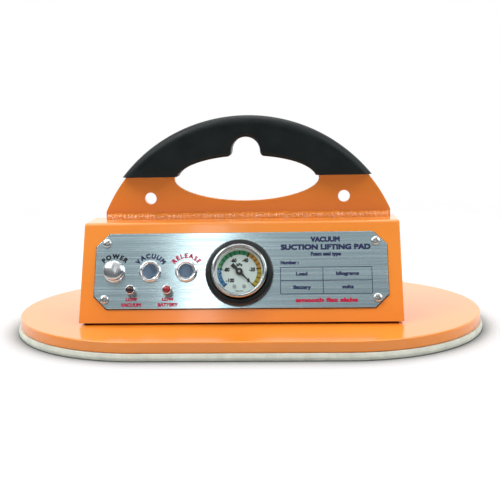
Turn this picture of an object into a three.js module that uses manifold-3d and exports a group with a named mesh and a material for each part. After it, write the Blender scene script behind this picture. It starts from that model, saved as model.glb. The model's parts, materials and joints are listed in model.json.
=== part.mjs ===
// Battery vacuum lifter: a sealed pad that grips a smooth slab, with the vacuum set on its own panel.
// Millimetres, +Z up, +X to the operator's right, +Y away from the operator.
// The origin is the centre of the seal's lower face, which lies on the slab.
import * as THREE from "three";
import { mergeVertices } from "three/addons/utils/BufferGeometryUtils.js";
import Module from "manifold-3d";

const wasm = await Module();
wasm.setup();

// ---- Driving dimensions ----
const SEAT = 0.1; // glue line or contact line between pieces that rest on each other
const GAP = 0.3; // running clearance and other small gaps

const PAD = { length: 400, width: 240, bottom: 6, top: 15 };
const SEAL = { overhang: 2, band: 28 };
const GASKET = { inset: 4, band: 7, endBand: 19 };

// The housing is bent from sheet: a front panel that leans back, a flat top and an upright rear wall.
const HOUSING = { x: -4, width: 264, sheet: 2, bottom: 17, top: 94, bend: 4 };
const FRONT_FOOT_Y = -69; // the front panel's lower edge
const FRONT_HEAD_Y = -31; // the front panel's upper edge
const REAR_Y = 12; // outer face of the rear wall
const LIP = { end: 18, side: 8, front: 12 }; // inward lips around the open bottom
const BASE_SCREW = { endInset: 11, rows: [-45, -7], shank: 2.5, head: 5, headHeight: 3 };

const HANDLE = { sheet: 6, halfFoot: 123.4, arcCentreZ: 44, arcRadius: 135.6 };
const OPENING = { centreZ: 127.5, halfWidth: 62.2, rise: 22.5, drop: 18.7, lowerPower: 1.9 };
const NOTCH = { radius: 14.4, centreZ: 151.4, flare: 3.4 };
const TETHER_HOLE = { x: 83.8, z: 111.6, radius: 5 };
const GRIP = { wall: 2.2, thickness: 24, endZ: 130.5, edge: 6 };
const WELD_LEG = 5.6;

// Places on the front panel are (x from its middle, height up its slope).
const FACE = { width: 240.6, low: 11.4, high: 75.8, corner: 11, sheet: 1.2 };
const FACE_SCREW = { x: 111.4, rows: [19.3, 67.4], length: 8, shank: 1.9, head: 3.8, headHeight: 2.2 };
const BUTTON = { xs: [-104.3, -74.4, -44.6], y: 42.8, flange: 9.2, barrel: 7.8, depth: 28 };
const BORE = { radius: 6.9, depth: 9 }; // the blind bore in each switch that its cap slides in
const CAP = { dome: 8.4, stemEnd: -3, travel: 1.6 };
const LAMP = { xs: [-89.2, -59.2], y: 25.9, radius: 3.9, lens: 2.6, proud: 8, depth: 12 };
const GAUGE = { x: -0.6, y: 41.2, flange: 27.9, case: 22.4, depth: 24, front: 10, stem: 13 };

const PORT = { x: -38, y: -12, radius: 4 };
const MANIFOLD = { x: [-62, -14], y: [-24, 0], top: 31 };
const PUMP = { headX: [26, 60], headY: [-42, -2], headZ: [19.4, 62] };
const MOTOR = { y: -20, z: 41, radius: 18, end: 118 };
const LINE = { y: -12, z: 24, barb: 2.4, hose: 4.2, bore: 2.7 }; // the vacuum line from pump to manifold

const DOCK = { halfWidth: 37, z: [20, 78], plate: 17, neck: 20, neckHalf: 20, head: 24, headHalf: 26 };
const PACK = { halfWidth: 33, y: [17.5, 60], z: [20, 86], corner: 5 };
const LATCH = { halfWidth: 12, z: [64, 78], depth: 7, proud: 0.8, travel: 3 };

// ---- Shapes ----
function solidFrom(geometry) {
  const bare = geometry.clone();
  bare.deleteAttribute("normal");
  bare.deleteAttribute("uv");
  const merged = mergeVertices(bare, 1e-3);
  const mesh = { numProp: 3, vertProperties: merged.attributes.position.array };
  return new wasm.Manifold(new wasm.Mesh({ ...mesh, triVerts: new Uint32Array(merged.index.array) }));
}

function geometryFrom(solid) {
  const { vertProperties, triVerts } = solid.getMesh();
  const geometry = new THREE.BufferGeometry();
  geometry.setAttribute("position", new THREE.BufferAttribute(new Float32Array(vertProperties), 3));
  geometry.setIndex(new THREE.BufferAttribute(new Uint32Array(triVerts), 1));
  geometry.computeVertexNormals();
  return geometry;
}

function join(...geometries) {
  return geometryFrom(geometries.map(solidFrom).reduce((whole, next) => whole.add(next)));
}

function cut(geometry, ...tools) {
  return geometryFrom(tools.map(solidFrom).reduce((left, tool) => left.subtract(tool), solidFrom(geometry)));
}

function block([x0, x1], [y0, y1], [z0, z1]) {
  const box = new THREE.BoxGeometry(x1 - x0, y1 - y0, z1 - z0);
  return box.translate((x0 + x1) / 2, (y0 + y1) / 2, (z0 + z1) / 2);
}

// A prism or cylinder about the Z axis.
function rod(radius, z0, z1, sides = 28) {
  const upright = new THREE.CylinderGeometry(radius, radius, z1 - z0, sides).rotateX(Math.PI / 2);
  return upright.translate(0, 0, (z0 + z1) / 2);
}

function rodAlongX(radius, x0, x1, y, z, sides = 28) {
  return rod(radius, x0, x1, sides).rotateY(Math.PI / 2).translate(0, y, z);
}

// A turned piece about the Z axis, from [radius, z] pairs listed from low and inner to high and inner.
function turned(profile, sides = 36) {
  const points = profile.map(([radius, z]) => new THREE.Vector2(radius, z));
  return new THREE.LatheGeometry(points, sides).rotateX(Math.PI / 2);
}

function ring(inner, outer, z0, z1, sides = 36) {
  return turned([[inner, z0], [outer, z0], [outer, z1], [inner, z1], [inner, z0]], sides);
}

// The outline as straight steps, without the doubled points where its curves meet.
function stepped(path, curveSegments) {
  const points = path.getPoints(curveSegments);
  return points.filter((point, i) => point.distanceTo(points[(i + 1) % points.length]) > 0.01);
}

function steppedShape(shape, curveSegments) {
  const result = new THREE.Shape(stepped(shape, curveSegments));
  result.holes = shape.holes.map((hole) => new THREE.Path(stepped(hole, curveSegments)));
  return result;
}

function extrude(shape, depth, curveSegments = 12) {
  return new THREE.ExtrudeGeometry(steppedShape(shape, curveSegments), { depth, bevelEnabled: false });
}

// An outline drawn in (x, z), given a thickness about the plane y = 0.
function standing(shape, thickness, curveSegments) {
  return extrude(shape, thickness, curveSegments).rotateX(Math.PI / 2).translate(0, thickness / 2, 0);
}

// An outline drawn in (y, z), run from x0 to x1.
function alongX(shape, x0, x1) {
  const turn = new THREE.Matrix4().makeBasis(
    new THREE.Vector3(0, 1, 0),
    new THREE.Vector3(0, 0, 1),
    new THREE.Vector3(1, 0, 0),
  );
  return extrude(shape, x1 - x0).applyMatrix4(turn).translate(x0, 0, 0);
}

// A polygon of [u, v, radius] corners, each rounded by its radius (0 or nothing leaves it sharp).
function rounded(corners) {
  const shape = new THREE.Shape();
  corners.forEach(([u, v, radius = 0], i) => {
    const corner = new THREE.Vector2(u, v);
    const from = corners[(i + corners.length - 1) % corners.length];
    const to = corners[(i + 1) % corners.length];
    const back = new THREE.Vector2(from[0], from[1]).sub(corner).setLength(radius).add(corner);
    const ahead = new THREE.Vector2(to[0], to[1]).sub(corner).setLength(radius).add(corner);
    if (i === 0) shape.moveTo(back.x, back.y);
    else shape.lineTo(back.x, back.y);
    if (radius > 0) shape.quadraticCurveTo(u, v, ahead.x, ahead.y);
  });
  shape.closePath();
  return shape;
}

function stadium(length, width) {
  const radius = width / 2;
  const centre = length / 2 - radius;
  const shape = new THREE.Shape();
  shape.absarc(centre, 0, radius, -Math.PI / 2, Math.PI / 2, false);
  shape.absarc(-centre, 0, radius, Math.PI / 2, 1.5 * Math.PI, false);
  return shape;
}

function hose(points, radius, steps) {
  const path = new THREE.CatmullRomCurve3(points.map((p) => new THREE.Vector3(...p)));
  const section = new THREE.Shape().absarc(0, 0, radius, 0, 2 * Math.PI, false);
  return new THREE.ExtrudeGeometry(section, { steps, curveSegments: 4, extrudePath: path });
}

// ---- Materials ----
function material(color, roughness, metalness, opacity = 1) {
  return new THREE.MeshStandardMaterial({ color, roughness, metalness, opacity, transparent: opacity < 1 });
}

const ORANGE = material(0xf08c2d, 0.28, 0);
const FOAM = material(0xd8cfba, 0.9, 0);
const GRIP_RUBBER = material(0x1c2222, 0.55, 0);
const BLACK_RUBBER = material(0x111111, 0.8, 0);
const BRUSHED = material(0xa8b2b4, 0.35, 1);
const CHROME = material(0xd0d4d6, 0.12, 1);
const BLUED = material(0x3f5060, 0.3, 0.8);
const ZINC = material(0xb4b6b4, 0.4, 1);
const BLACK_PLASTIC = material(0x14181a, 0.5, 0);
const BATTERY_PLASTIC = material(0x23282c, 0.6, 0);
const LATCH_PLASTIC = material(0xb5281e, 0.5, 0);
const DIAL_WHITE = material(0xe9eeee, 0.5, 0);
const GLASS = material(0xffffff, 0.05, 0, 0.25);
const MAROON = material(0x30090c, 0.25, 0);
const RED = material(0xd01818, 0.25, 0);
const BRASS = material(0xc09a4a, 0.35, 1);
const ALUMINIUM = material(0xb9bcbe, 0.45, 1);
const BOARD_GREEN = material(0x1d5b34, 0.5, 0);

// ---- Assembly ----
const lifter = new THREE.Group();

// Panel coordinates: x to the right, y up the leaning front panel, z straight out of it.
const panel = new THREE.Group();
panel.position.set(HOUSING.x, FRONT_FOOT_Y, HOUSING.bottom);
panel.rotation.x = Math.atan2(HOUSING.top - HOUSING.bottom, FRONT_HEAD_Y - FRONT_FOOT_Y);
panel.updateMatrix();
lifter.add(panel);

function add(name, geometry, look, parent = lifter) {
  const mesh = new THREE.Mesh(geometry, look);
  mesh.name = name;
  parent.add(mesh);
  return mesh;
}

function onPanel(geometry, x, y) {
  return geometry.translate(x, y, 0).applyMatrix4(panel.matrix);
}

const panelScrews = [-1, 1].flatMap((side) => FACE_SCREW.rows.map((row) => [side * FACE_SCREW.x, row]));
const housingX = [HOUSING.x - HOUSING.width / 2, HOUSING.x + HOUSING.width / 2];
const baseScrews = [housingX[0] + BASE_SCREW.endInset, housingX[1] - BASE_SCREW.endInset].flatMap((x) =>
  BASE_SCREW.rows.map((y) => [x, y]),
);

// ---- Pad ----
function suctionSeal() {
  const outer = stadium(PAD.length + 2 * SEAL.overhang, PAD.width + 2 * SEAL.overhang);
  outer.holes.push(stadium(PAD.length - 2 * SEAL.band, PAD.width - 2 * SEAL.band));
  return extrude(outer, PAD.bottom - SEAT, 14);
}

function basePlate() {
  const plate = extrude(stadium(PAD.length, PAD.width), PAD.top - PAD.bottom, 16).translate(0, 0, PAD.bottom);
  const port = rod(PORT.radius, 0, PAD.top + 1).translate(PORT.x, PORT.y, 0);
  const strainerSeat = rod(11, 0, PAD.bottom + 2.5).translate(PORT.x, PORT.y, 0);
  const screwHoles = baseScrews.flatMap(([x, y]) => [
    rod(BASE_SCREW.shank + GAP, 0, PAD.top + 1, 10).translate(x, y, 0),
    rod(BASE_SCREW.head + GAP, 0, PAD.bottom + BASE_SCREW.headHeight + GAP, 14).translate(x, y, 0),
  ]);
  return cut(plate, port, strainerSeat, ...screwHoles);
}

// A disc of small holes that keeps grit out of the pump.
function portStrainer() {
  const disc = rod(10.6, PAD.bottom + 0.4, PAD.bottom + 2.2, 20);
  const holes = [0, 1, 2, 3, 4, 5].map((i) => {
    const angle = (i * Math.PI) / 3;
    return rod(1.3, 0, PAD.top, 6).translate(6 * Math.cos(angle), 6 * Math.sin(angle), 0);
  });
  return cut(disc, rod(1.3, 0, PAD.top, 6), ...holes).translate(PORT.x, PORT.y, 0);
}

function baseScrew([x, y]) {
  const headLow = PAD.bottom + GAP;
  const head = rod(BASE_SCREW.head, headLow, headLow + BASE_SCREW.headHeight - GAP, 14);
  const shank = rod(BASE_SCREW.shank, headLow + 1, HOUSING.bottom + HOUSING.sheet + 6, 10);
  return cut(join(head, shank), rod(2.4, 0, headLow + 2, 6)).translate(x, y, 0);
}

function housingGasket() {
  const x = [housingX[0] + GASKET.inset, housingX[1] - GASKET.inset];
  const y = [FRONT_FOOT_Y + GASKET.inset, REAR_Y - GASKET.inset];
  const z = [PAD.top + SEAT, HOUSING.bottom - SEAT];
  const innerX = [x[0] + GASKET.endBand, x[1] - GASKET.endBand];
  const inner = block(innerX, [y[0] + GASKET.band, y[1] - GASKET.band], [0, 99]);
  const holes = baseScrews.map(([hx, hy]) => rod(BASE_SCREW.shank + GAP, 0, 99, 10).translate(hx, hy, 0));
  return cut(block(x, y, z), inner, ...holes);
}

// ---- Housing ----
// The panel's line at height z, moved back from the outer face by a depth measured square to it.
function panelY(z, depth) {
  const rise = HOUSING.top - HOUSING.bottom;
  const run = FRONT_HEAD_Y - FRONT_FOOT_Y;
  return FRONT_FOOT_Y + ((z - HOUSING.bottom) * run) / rise + (depth * Math.hypot(rise, run)) / rise;
}

function housingProfile(inset, floor) {
  const roof = HOUSING.top - inset;
  const bend = HOUSING.bend - inset;
  return rounded([
    [panelY(floor, inset), floor],
    [REAR_Y - inset, floor],
    [REAR_Y - inset, roof, bend],
    [panelY(roof, inset), roof, bend],
  ]);
}

function panelHoles() {
  const through = (radius, [x, y]) => onPanel(rod(radius, -9, 9, 18), x, y);
  return [
    through(GAUGE.case + 2 * GAP, [GAUGE.x, GAUGE.y]),
    ...BUTTON.xs.map((x) => through(BUTTON.barrel + GAP, [x, BUTTON.y])),
    ...LAMP.xs.map((x) => through(LAMP.radius - 0.3 + GAP, [x, LAMP.y])),
    ...panelScrews.map((place) => through(FACE_SCREW.shank + GAP, place)),
  ];
}

const VENT_ROWS = [62, 68, 74, 80];
const DOCK_SCREW_ZS = [30, 70];

function housingShell() {
  const { sheet, bottom } = HOUSING;
  const outer = alongX(housingProfile(0, bottom), ...housingX);
  const cavity = alongX(housingProfile(sheet, bottom + sheet), housingX[0] + sheet, housingX[1] - sheet);
  const mouth = block(
    [housingX[0] + LIP.end, housingX[1] - LIP.end],
    [FRONT_FOOT_Y + LIP.front + sheet, REAR_Y - sheet - LIP.side],
    [0, bottom + sheet + 1],
  );
  const floor = bottom + sheet;
  const weldNuts = baseScrews.map(([x, y]) => rod(4.6, floor - 0.5, floor + 4, 6).translate(x, y, 0));
  const nutHoles = baseScrews.map(([x, y]) => rod(BASE_SCREW.shank + GAP, 0, 40, 10).translate(x, y, 0));
  const vents = VENT_ROWS.map((z) => block([66, 112], [REAR_Y - 6, REAR_Y + 6], [z, z + 3]));
  const dockWindow = block([HOUSING.x - 12, HOUSING.x + 12], [REAR_Y - 6, REAR_Y + 6], [44, 56]);
  const dockHoles = DOCK_SCREW_ZS.map((z) =>
    rod(2.2, -8, 8, 16).rotateX(Math.PI / 2).translate(HOUSING.x, REAR_Y, z),
  );
  const shell = join(cut(outer, cavity, mouth), ...weldNuts);
  return cut(shell, ...nutHoles, ...vents, dockWindow, ...dockHoles, ...panelHoles());
}

// ---- Handle ----
function openingHeight(x, { centreZ, halfWidth, rise }) {
  return centreZ + rise * Math.sqrt(1 - (x / halfWidth) ** 2);
}

// The upper edge of the hand opening, from -X to +X, with the hook notch in its middle.
function traceUpperEdge(path, opening, notch, start) {
  const STEPS = 8;
  const mouth = notch.radius + notch.flare;
  const mouthZ = openingHeight(mouth, opening);
  const along = (i) => start * Math.cos((i / STEPS) * Math.acos(mouth / start));
  for (let i = 0; i <= STEPS; i += 1) path.lineTo(-along(i), openingHeight(along(i), opening));
  path.quadraticCurveTo(-notch.radius - 0.4, mouthZ + 0.4, -notch.radius, notch.centreZ);
  path.absarc(0, notch.centreZ, notch.radius, Math.PI, 0, true);
  path.quadraticCurveTo(notch.radius + 0.4, mouthZ + 0.4, mouth, mouthZ);
  for (let i = STEPS; i >= 0; i -= 1) path.lineTo(along(i), openingHeight(along(i), opening));
}

function handleOutline(grow) {
  const { halfFoot, arcCentreZ, arcRadius } = HANDLE;
  const foot = HOUSING.top + SEAT;
  const half = halfFoot + grow;
  const radius = arcRadius + grow;
  const turn = Math.acos(half / radius);
  const shape = new THREE.Shape();
  shape.moveTo(-half, foot);
  shape.lineTo(half, foot);
  shape.absarc(0, arcCentreZ, radius, turn, Math.PI - turn, false);
  shape.closePath();

  const { centreZ, halfWidth, drop, lowerPower } = OPENING;
  const opening = { ...OPENING, halfWidth: halfWidth - grow, rise: OPENING.rise - grow };
  const hole = new THREE.Path();
  hole.moveTo(-opening.halfWidth, centreZ);
  traceUpperEdge(hole, opening, { ...NOTCH, radius: NOTCH.radius - grow }, opening.halfWidth);
  const STEPS = 16;
  for (let i = 1; i < STEPS; i += 1) {
    const x = opening.halfWidth * Math.cos((i / STEPS) * Math.PI);
    const fall = (1 - Math.abs(x / opening.halfWidth) ** lowerPower) ** (1 / lowerPower);
    hole.lineTo(x, centreZ - (drop - grow) * fall);
  }
  shape.holes.push(hole);
  return shape;
}

function handlePlate() {
  const shape = handleOutline(0);
  [-1, 1].forEach((side) => {
    const hole = new THREE.Path();
    hole.absarc(side * TETHER_HOLE.x, TETHER_HOLE.z, TETHER_HOLE.radius, 0, 2 * Math.PI, false);
    shape.holes.push(hole);
  });
  return standing(shape, HANDLE.sheet, 9);
}

// The moulded grip wraps the top of the plate, which enters it from below.
function handleGrip() {
  const radius = HANDLE.arcRadius + GRIP.wall;
  const lift = GRIP.endZ - HANDLE.arcCentreZ;
  const turn = Math.asin(lift / radius);
  const opening = { ...OPENING, halfWidth: OPENING.halfWidth - GRIP.wall, rise: OPENING.rise - GRIP.wall };
  const notch = { ...NOTCH, radius: NOTCH.radius - GRIP.wall };
  const rest = (GRIP.endZ - opening.centreZ) / opening.rise;
  const endHalf = opening.halfWidth * Math.sqrt(1 - rest ** 2);
  const shape = new THREE.Shape();
  shape.absarc(0, HANDLE.arcCentreZ, radius, turn, Math.PI - turn, false);
  traceUpperEdge(shape, opening, notch, endHalf);
  shape.closePath();
  const body = new THREE.ExtrudeGeometry(steppedShape(shape, 9), {
    depth: GRIP.thickness - 2 * GRIP.edge,
    bevelThickness: GRIP.edge,
    bevelSize: GRIP.edge / 2,
    bevelOffset: -GRIP.edge / 2,
    bevelSegments: 2,
  });
  body.rotateX(Math.PI / 2).translate(0, GRIP.thickness / 2 - GRIP.edge, 0);
  return cut(body, standing(handleOutline(GAP), HANDLE.sheet + 2 * GAP, 9));
}

function weldBead(side) {
  const root = HANDLE.sheet / 2 + SEAT;
  const foot = HOUSING.top + SEAT;
  const middle = WELD_LEG / 2;
  const section = new THREE.Shape();
  section.moveTo(side * root, foot);
  section.lineTo(side * (root + WELD_LEG), foot);
  section.quadraticCurveTo(side * (root + middle), foot + middle, side * root, foot + WELD_LEG);
  section.closePath();
  return alongX(section, 1.5 - HANDLE.halfFoot, HANDLE.halfFoot - 1.5);
}

// ---- Front panel ----
function facePlate() {
  const half = FACE.width / 2;
  const { low, high, corner } = FACE;
  const shape = rounded([
    [-half + corner, low],
    [half - corner, low],
    [half, low + corner],
    [half, high - corner],
    [half - corner, high],
    [-half + corner, high],
    [-half, high - corner],
    [-half, low + corner],
  ]);
  const drill = (radius, [x, y]) => {
    const hole = new THREE.Path();
    hole.absarc(x, y, radius, 0, 2 * Math.PI, false);
    shape.holes.push(hole);
  };
  drill(GAUGE.case + 2 * GAP, [GAUGE.x, GAUGE.y]);
  BUTTON.xs.forEach((x) => drill(BUTTON.barrel + GAP, [x, BUTTON.y]));
  LAMP.xs.forEach((x) => drill(LAMP.radius, [x, LAMP.y]));
  panelScrews.forEach((place) => drill(FACE_SCREW.shank + GAP, place));
  return extrude(shape, FACE.sheet, 8).translate(0, 0, SEAT);
}

const FACE_TOP = FACE.sheet + 2 * SEAT; // where pieces rest on the face plate

function faceScrew() {
  const { length, shank, head, headHeight } = FACE_SCREW;
  const top = FACE_TOP + headHeight;
  const profile = [
    [0, -length], [shank, -length], [shank, FACE_TOP], [head, FACE_TOP],
    [head, top - 1], [head * 0.6, top], [0, top],
  ];
  const body = turned(profile, 14);
  const slot = block([-2.2, 2.2], [-0.5, 0.5], [top - 1.4, top + 1]);
  return cut(body, slot, slot.clone().rotateZ(Math.PI / 2));
}

// A panel switch: flange and threaded barrel in one, with a blind bore for its cap.
const FLANGE_TOP = FACE_TOP + 2.6;

function buttonBezel() {
  const { flange, barrel, depth } = BUTTON;
  const boreFloor = FLANGE_TOP - BORE.depth;
  const profile = [
    [0, -depth], [barrel - 1, -depth], [barrel, 1 - depth], [barrel, FACE_TOP], [flange, FACE_TOP],
    [flange, FLANGE_TOP - 1.2], [flange - 1.2, FLANGE_TOP], [BORE.radius, FLANGE_TOP],
    [BORE.radius, boreFloor], [0, boreFloor],
  ];
  const terminal = block([-3.6, -2.8], [-1.5, 1.5], [-depth - 5, -depth + 1]);
  return join(turned(profile, 20), terminal, terminal.clone().translate(6.4, 0, 0));
}

function hexNut(bore, thickness) {
  const front = -HOUSING.sheet - SEAT;
  return cut(rod(bore + 3, front - thickness, front, 6), rod(bore + GAP, -20, 5, 20));
}

// The power cap is a dome that stands over its flange; the other two are flat and sit inside theirs.
const CAP_STEM = BORE.radius - GAP;

function domedCap() {
  const { dome, stemEnd, travel } = CAP;
  const under = FLANGE_TOP + travel + GAP;
  const crown = under + 0.6;
  const arc = [1, 2, 3, 4].map((i) => {
    const angle = (i / 5) * (Math.PI / 2);
    return [dome * Math.cos(angle), crown + 2.6 * Math.sin(angle)];
  });
  const profile = [[0, stemEnd], [CAP_STEM, stemEnd], [CAP_STEM, under], [dome, under], [dome, crown]];
  return turned([...profile, ...arc, [0, crown + 2.6]], 20);
}

function flatCap() {
  const { stemEnd } = CAP;
  const top = FACE_TOP + 2.2;
  const rim = [[CAP_STEM, top - 0.5], [CAP_STEM - 0.5, top], [4.5, top]];
  return turned([[0, stemEnd], [CAP_STEM, stemEnd], ...rim, [0, top - 0.5]], 20);
}

function lampHolder() {
  const { radius, lens, proud, depth } = LAMP;
  const top = FACE_TOP + proud;
  const barrel = radius - 0.3;
  const profile = [
    [0, -depth], [barrel, -depth], [barrel, FACE_TOP], [radius, FACE_TOP],
    [radius, top - 0.8], [radius - 0.8, top], [lens + GAP, top], [lens + GAP, -depth / 2], [0, -depth / 2],
  ];
  return turned(profile, 16);
}

function lampLens() {
  const { lens, proud, depth } = LAMP;
  const top = FACE_TOP + proud;
  const foot = 0.5 - depth / 2;
  return turned([[0, foot], [lens, foot], [lens, top], [lens * 0.7, top + 0.9], [0, top + 1.3]], 16);
}

// ---- Vacuum gauge ----
const DIAL_Z = 3.6;

function gaugePanelRing() {
  const inner = GAUGE.case + 0.8;
  const { flange } = GAUGE;
  const top = 6;
  const profile = [
    [inner, FACE_TOP], [flange, FACE_TOP], [flange, top - 1.5], [flange - 2, top],
    [inner, top], [inner, FACE_TOP],
  ];
  return turned(profile, 32);
}

function gaugeCase() {
  const outer = GAUGE.case;
  const inner = outer - 1.2;
  const stemHole = 3.4;
  const back = -GAUGE.depth;
  const profile = [
    [stemHole, back], [outer, back], [outer, 4.4], [inner, 4.4],
    [inner, back + 1.6], [stemHole, back + 1.6], [stemHole, back],
  ];
  return turned(profile, 32);
}

function gaugeBezel() {
  const outer = GAUGE.case + 0.4;
  const { front } = GAUGE;
  const profile = [
    [20.2, 4.7], [outer, 4.7], [outer, front - 2], [outer - 2, front], [19.4, front], [19, front - 0.8],
    [19, 8.6], [20.2, 8.6], [20.2, 4.7],
  ];
  return turned(profile, 32);
}

function gaugeNeedle() {
  const low = DIAL_Z + 1.3;
  const top = low + 1.8;
  const crown = [[2.4, low], [2.4, top - 0.6], [1.4, top], [0, top]];
  const hub = turned([[0, -2], [0.7, -2], [0.7, low], ...crown], 20);
  const blade = new THREE.Shape();
  blade.moveTo(-1.6, -9);
  blade.lineTo(1.6, -9);
  blade.lineTo(1.1, 2);
  blade.lineTo(0.35, 16.4);
  blade.lineTo(-0.35, 16.4);
  blade.lineTo(-1.1, 2);
  const zeroReading = (-135 * Math.PI) / 180;
  return join(hub, extrude(blade, 0.6).translate(0, 0, low + 0.2)).rotateZ(zeroReading);
}

// The curved tube that straightens a little under vacuum and turns the needle.
function bourdonTube() {
  const coil = 13;
  const points = [0, 1, 2, 3, 4, 5, 6, 7, 8].map((i) => {
    const angle = (-200 + i * 32) * (Math.PI / 180);
    return [coil * Math.cos(angle), coil * Math.sin(angle), -9];
  });
  return hose(points, 2, 16);
}

function gaugeStem() {
  const back = -GAUGE.depth;
  const tip = back - GAUGE.stem;
  const shoulder = back - 7;
  const profile = [
    [0, tip], [2, tip], [2, shoulder], [6, shoulder], [6, back - SEAT],
    [3, back - SEAT], [3, back + 6], [0, back + 6],
  ];
  const flat = (x) => block(x, [-9, 9], [shoulder - 2, back - 0.2]);
  return cut(turned(profile, 20), flat([5.2, 9]), flat([-9, -5.2]));
}

// ---- Pump and valves, inside the housing ----
const FLOOR = PAD.top + SEAT;

function manifoldBlock() {
  const { x, y, top } = MANIFOLD;
  const body = block(x, y, [FLOOR, top]);
  const riser = rod(PORT.radius, 0, FLOOR + 8, 16).translate(PORT.x, PORT.y, 0);
  const gallery = rodAlongX(2.5, x[0] + 8, x[1] + 1, PORT.y, LINE.z, 16);
  const nipple = rod(2, top - 1, top + 4, 14).translate(-20, -5, 0);
  return join(cut(body, riser, gallery), nipple);
}

function checkValve() {
  const start = MANIFOLD.x[1] + SEAT;
  const body = rodAlongX(6, start, 0, LINE.y, LINE.z, 24);
  return join(body, rodAlongX(LINE.barb, -1, 12, LINE.y, LINE.z, 16));
}

function vacuumHose() {
  const tube = rodAlongX(LINE.hose, GAP, PUMP.headX[0] - GAP, LINE.y, LINE.z, 16);
  return cut(tube, rodAlongX(LINE.bore, -1, PUMP.headX[0] + 1, LINE.y, LINE.z, 16));
}

function releaseValve() {
  const low = MANIFOLD.top + SEAT;
  const yoke = block([-61, -44], [-12, 7], [low + 4, low + 27]);
  const foot = rod(6, low, low + 5, 20).translate(-52.5, -6, 0);
  const coil = rod(8, low + 6, low + 30, 24).translate(-52.5, -2.5, 0);
  return join(yoke, foot, coil);
}

function vacuumSwitch() {
  const low = MANIFOLD.top + SEAT;
  const foot = [[0, low], [5, low], [5, low + 3], [8, low + 4]];
  const body = [[8, low + 17], [3, low + 18], [3, low + 22], [0, low + 22]];
  return turned([...foot, ...body], 24).translate(-33, -9, 0);
}

function pumpHead() {
  const { headX, headY, headZ } = PUMP;
  const lower = block(headX, headY, [headZ[0], headZ[1] - 12]);
  const cap = block([headX[0] + 2, headX[1] - 2], [headY[0] + 2, headY[1] - 2], [headZ[1] - 13, headZ[1]]);
  const inlet = rodAlongX(LINE.barb, 14, headX[0] + 1, LINE.y, LINE.z, 16);
  return join(lower, cap, inlet);
}

function pumpMotor() {
  const { y, z, radius, end } = MOTOR;
  const start = PUMP.headX[1] + GAP;
  return join(rodAlongX(radius, start, end, y, z, 32), rodAlongX(6, start + 9, end + 3, y, z, 20));
}

function pumpBracket() {
  const { y, z, radius } = MOTOR;
  const plate = block([66, 105], [y - 22, y + 20], [FLOOR, FLOOR + 2]);
  const cheeks = [70, 96].map((x) => block([x, x + 4], [y - 17, y + 17], [FLOOR + 1, z - 6]));
  return cut(join(plate, ...cheeks), rodAlongX(radius + GAP, 60, 112, y, z, 32));
}

function exhaustSilencer() {
  const low = PUMP.headZ[1] + SEAT;
  const top = low + 19;
  const profile = [[0, low], [4, low], [4, low + 3], [7, low + 3], [7, top - 2], [5.5, top], [0, top]];
  return turned(profile, 20).translate(43, -14, 0);
}

// The board stands off the rear wall on four posts, with its larger components on the front.
function controlBoard() {
  const x = [-128, -70];
  const z = [26, 86];
  const posts = [x[0] + 5, x[1] - 5].flatMap((px) =>
    [z[0] + 5, z[1] - 5].map((pz) => rod(2.5, 0, 5.4, 10).rotateX(-Math.PI / 2).translate(px, 4.3, pz)),
  );
  const relay = block([-122, -106], [-6, 4], [60, 78]);
  const capacitor = rod(5, 0, 13, 18).rotateX(Math.PI / 2).translate(-94, 4, 72);
  const connector = block([-90, -76], [-4, 4], [34, 44]);
  return join(block(x, [3, 4.6], z), relay, capacitor, connector, ...posts);
}

// ---- Battery ----
function batteryDock() {
  const { halfWidth, z, plate, neck, neckHalf, head, headHalf } = DOCK;
  const back = block([-halfWidth, halfWidth], [REAR_Y + SEAT, plate], z);
  const rail = block([-neckHalf, neckHalf], [plate - 1, neck + 1], z);
  const flange = block([-headHalf, headHalf], [neck, head], z);
  const screwHoles = DOCK_SCREW_ZS.flatMap((at) => [
    rod(2.2, -20, 20, 16).rotateX(Math.PI / 2).translate(0, 20, at),
    rod(4.4, -4, 4, 20).rotateX(Math.PI / 2).translate(0, 24.5, at),
  ]);
  return cut(join(back, rail, flange), ...screwHoles).translate(HOUSING.x, 0, 0);
}

function dockScrew(z) {
  const head = rod(3.8, 0, 2.6, 18);
  const body = cut(join(head, rod(1.8, -18, 1, 14)), rod(2, 1.2, 4, 6));
  return body.rotateX(-Math.PI / 2).translate(HOUSING.x, 20.8, z);
}

function batteryPack() {
  const { halfWidth, y, z, corner } = PACK;
  const outline = rounded([
    [-halfWidth, y[0], 1],
    [halfWidth, y[0], 1],
    [halfWidth, y[1], corner],
    [-halfWidth, y[1], corner],
  ]);
  const body = extrude(outline, z[1] - z[0], 4).translate(0, 0, z[0]);
  const play = 2 * GAP; // all round the dock's rail
  const slot = (half, y0, y1) => block([-half - play, half + play], [y0, y1], [0, DOCK.z[1] + play]);
  const neckSlot = slot(DOCK.neckHalf, 0, DOCK.neck);
  const headSlot = slot(DOCK.headHalf, DOCK.neck - play, DOCK.head + play);
  const pocket = block(
    [-LATCH.halfWidth - GAP, LATCH.halfWidth + GAP],
    [y[1] - LATCH.depth - LATCH.travel - GAP, y[1] + 5],
    [LATCH.z[0] - GAP, LATCH.z[1] + GAP],
  );
  return cut(body, neckSlot, headSlot, pocket).translate(HOUSING.x, 0, 0);
}

function batteryLatch() {
  const face = PACK.y[1] + LATCH.proud;
  const body = block([-LATCH.halfWidth, LATCH.halfWidth], [PACK.y[1] - LATCH.depth, face], LATCH.z);
  const grooves = [3, 6, 9].map((up) =>
    block([-9, 9], [face - 0.7, face + 1], [LATCH.z[0] + up, LATCH.z[0] + up + 1.2]),
  );
  return cut(body, ...grooves).translate(HOUSING.x, 0, 0);
}

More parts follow.
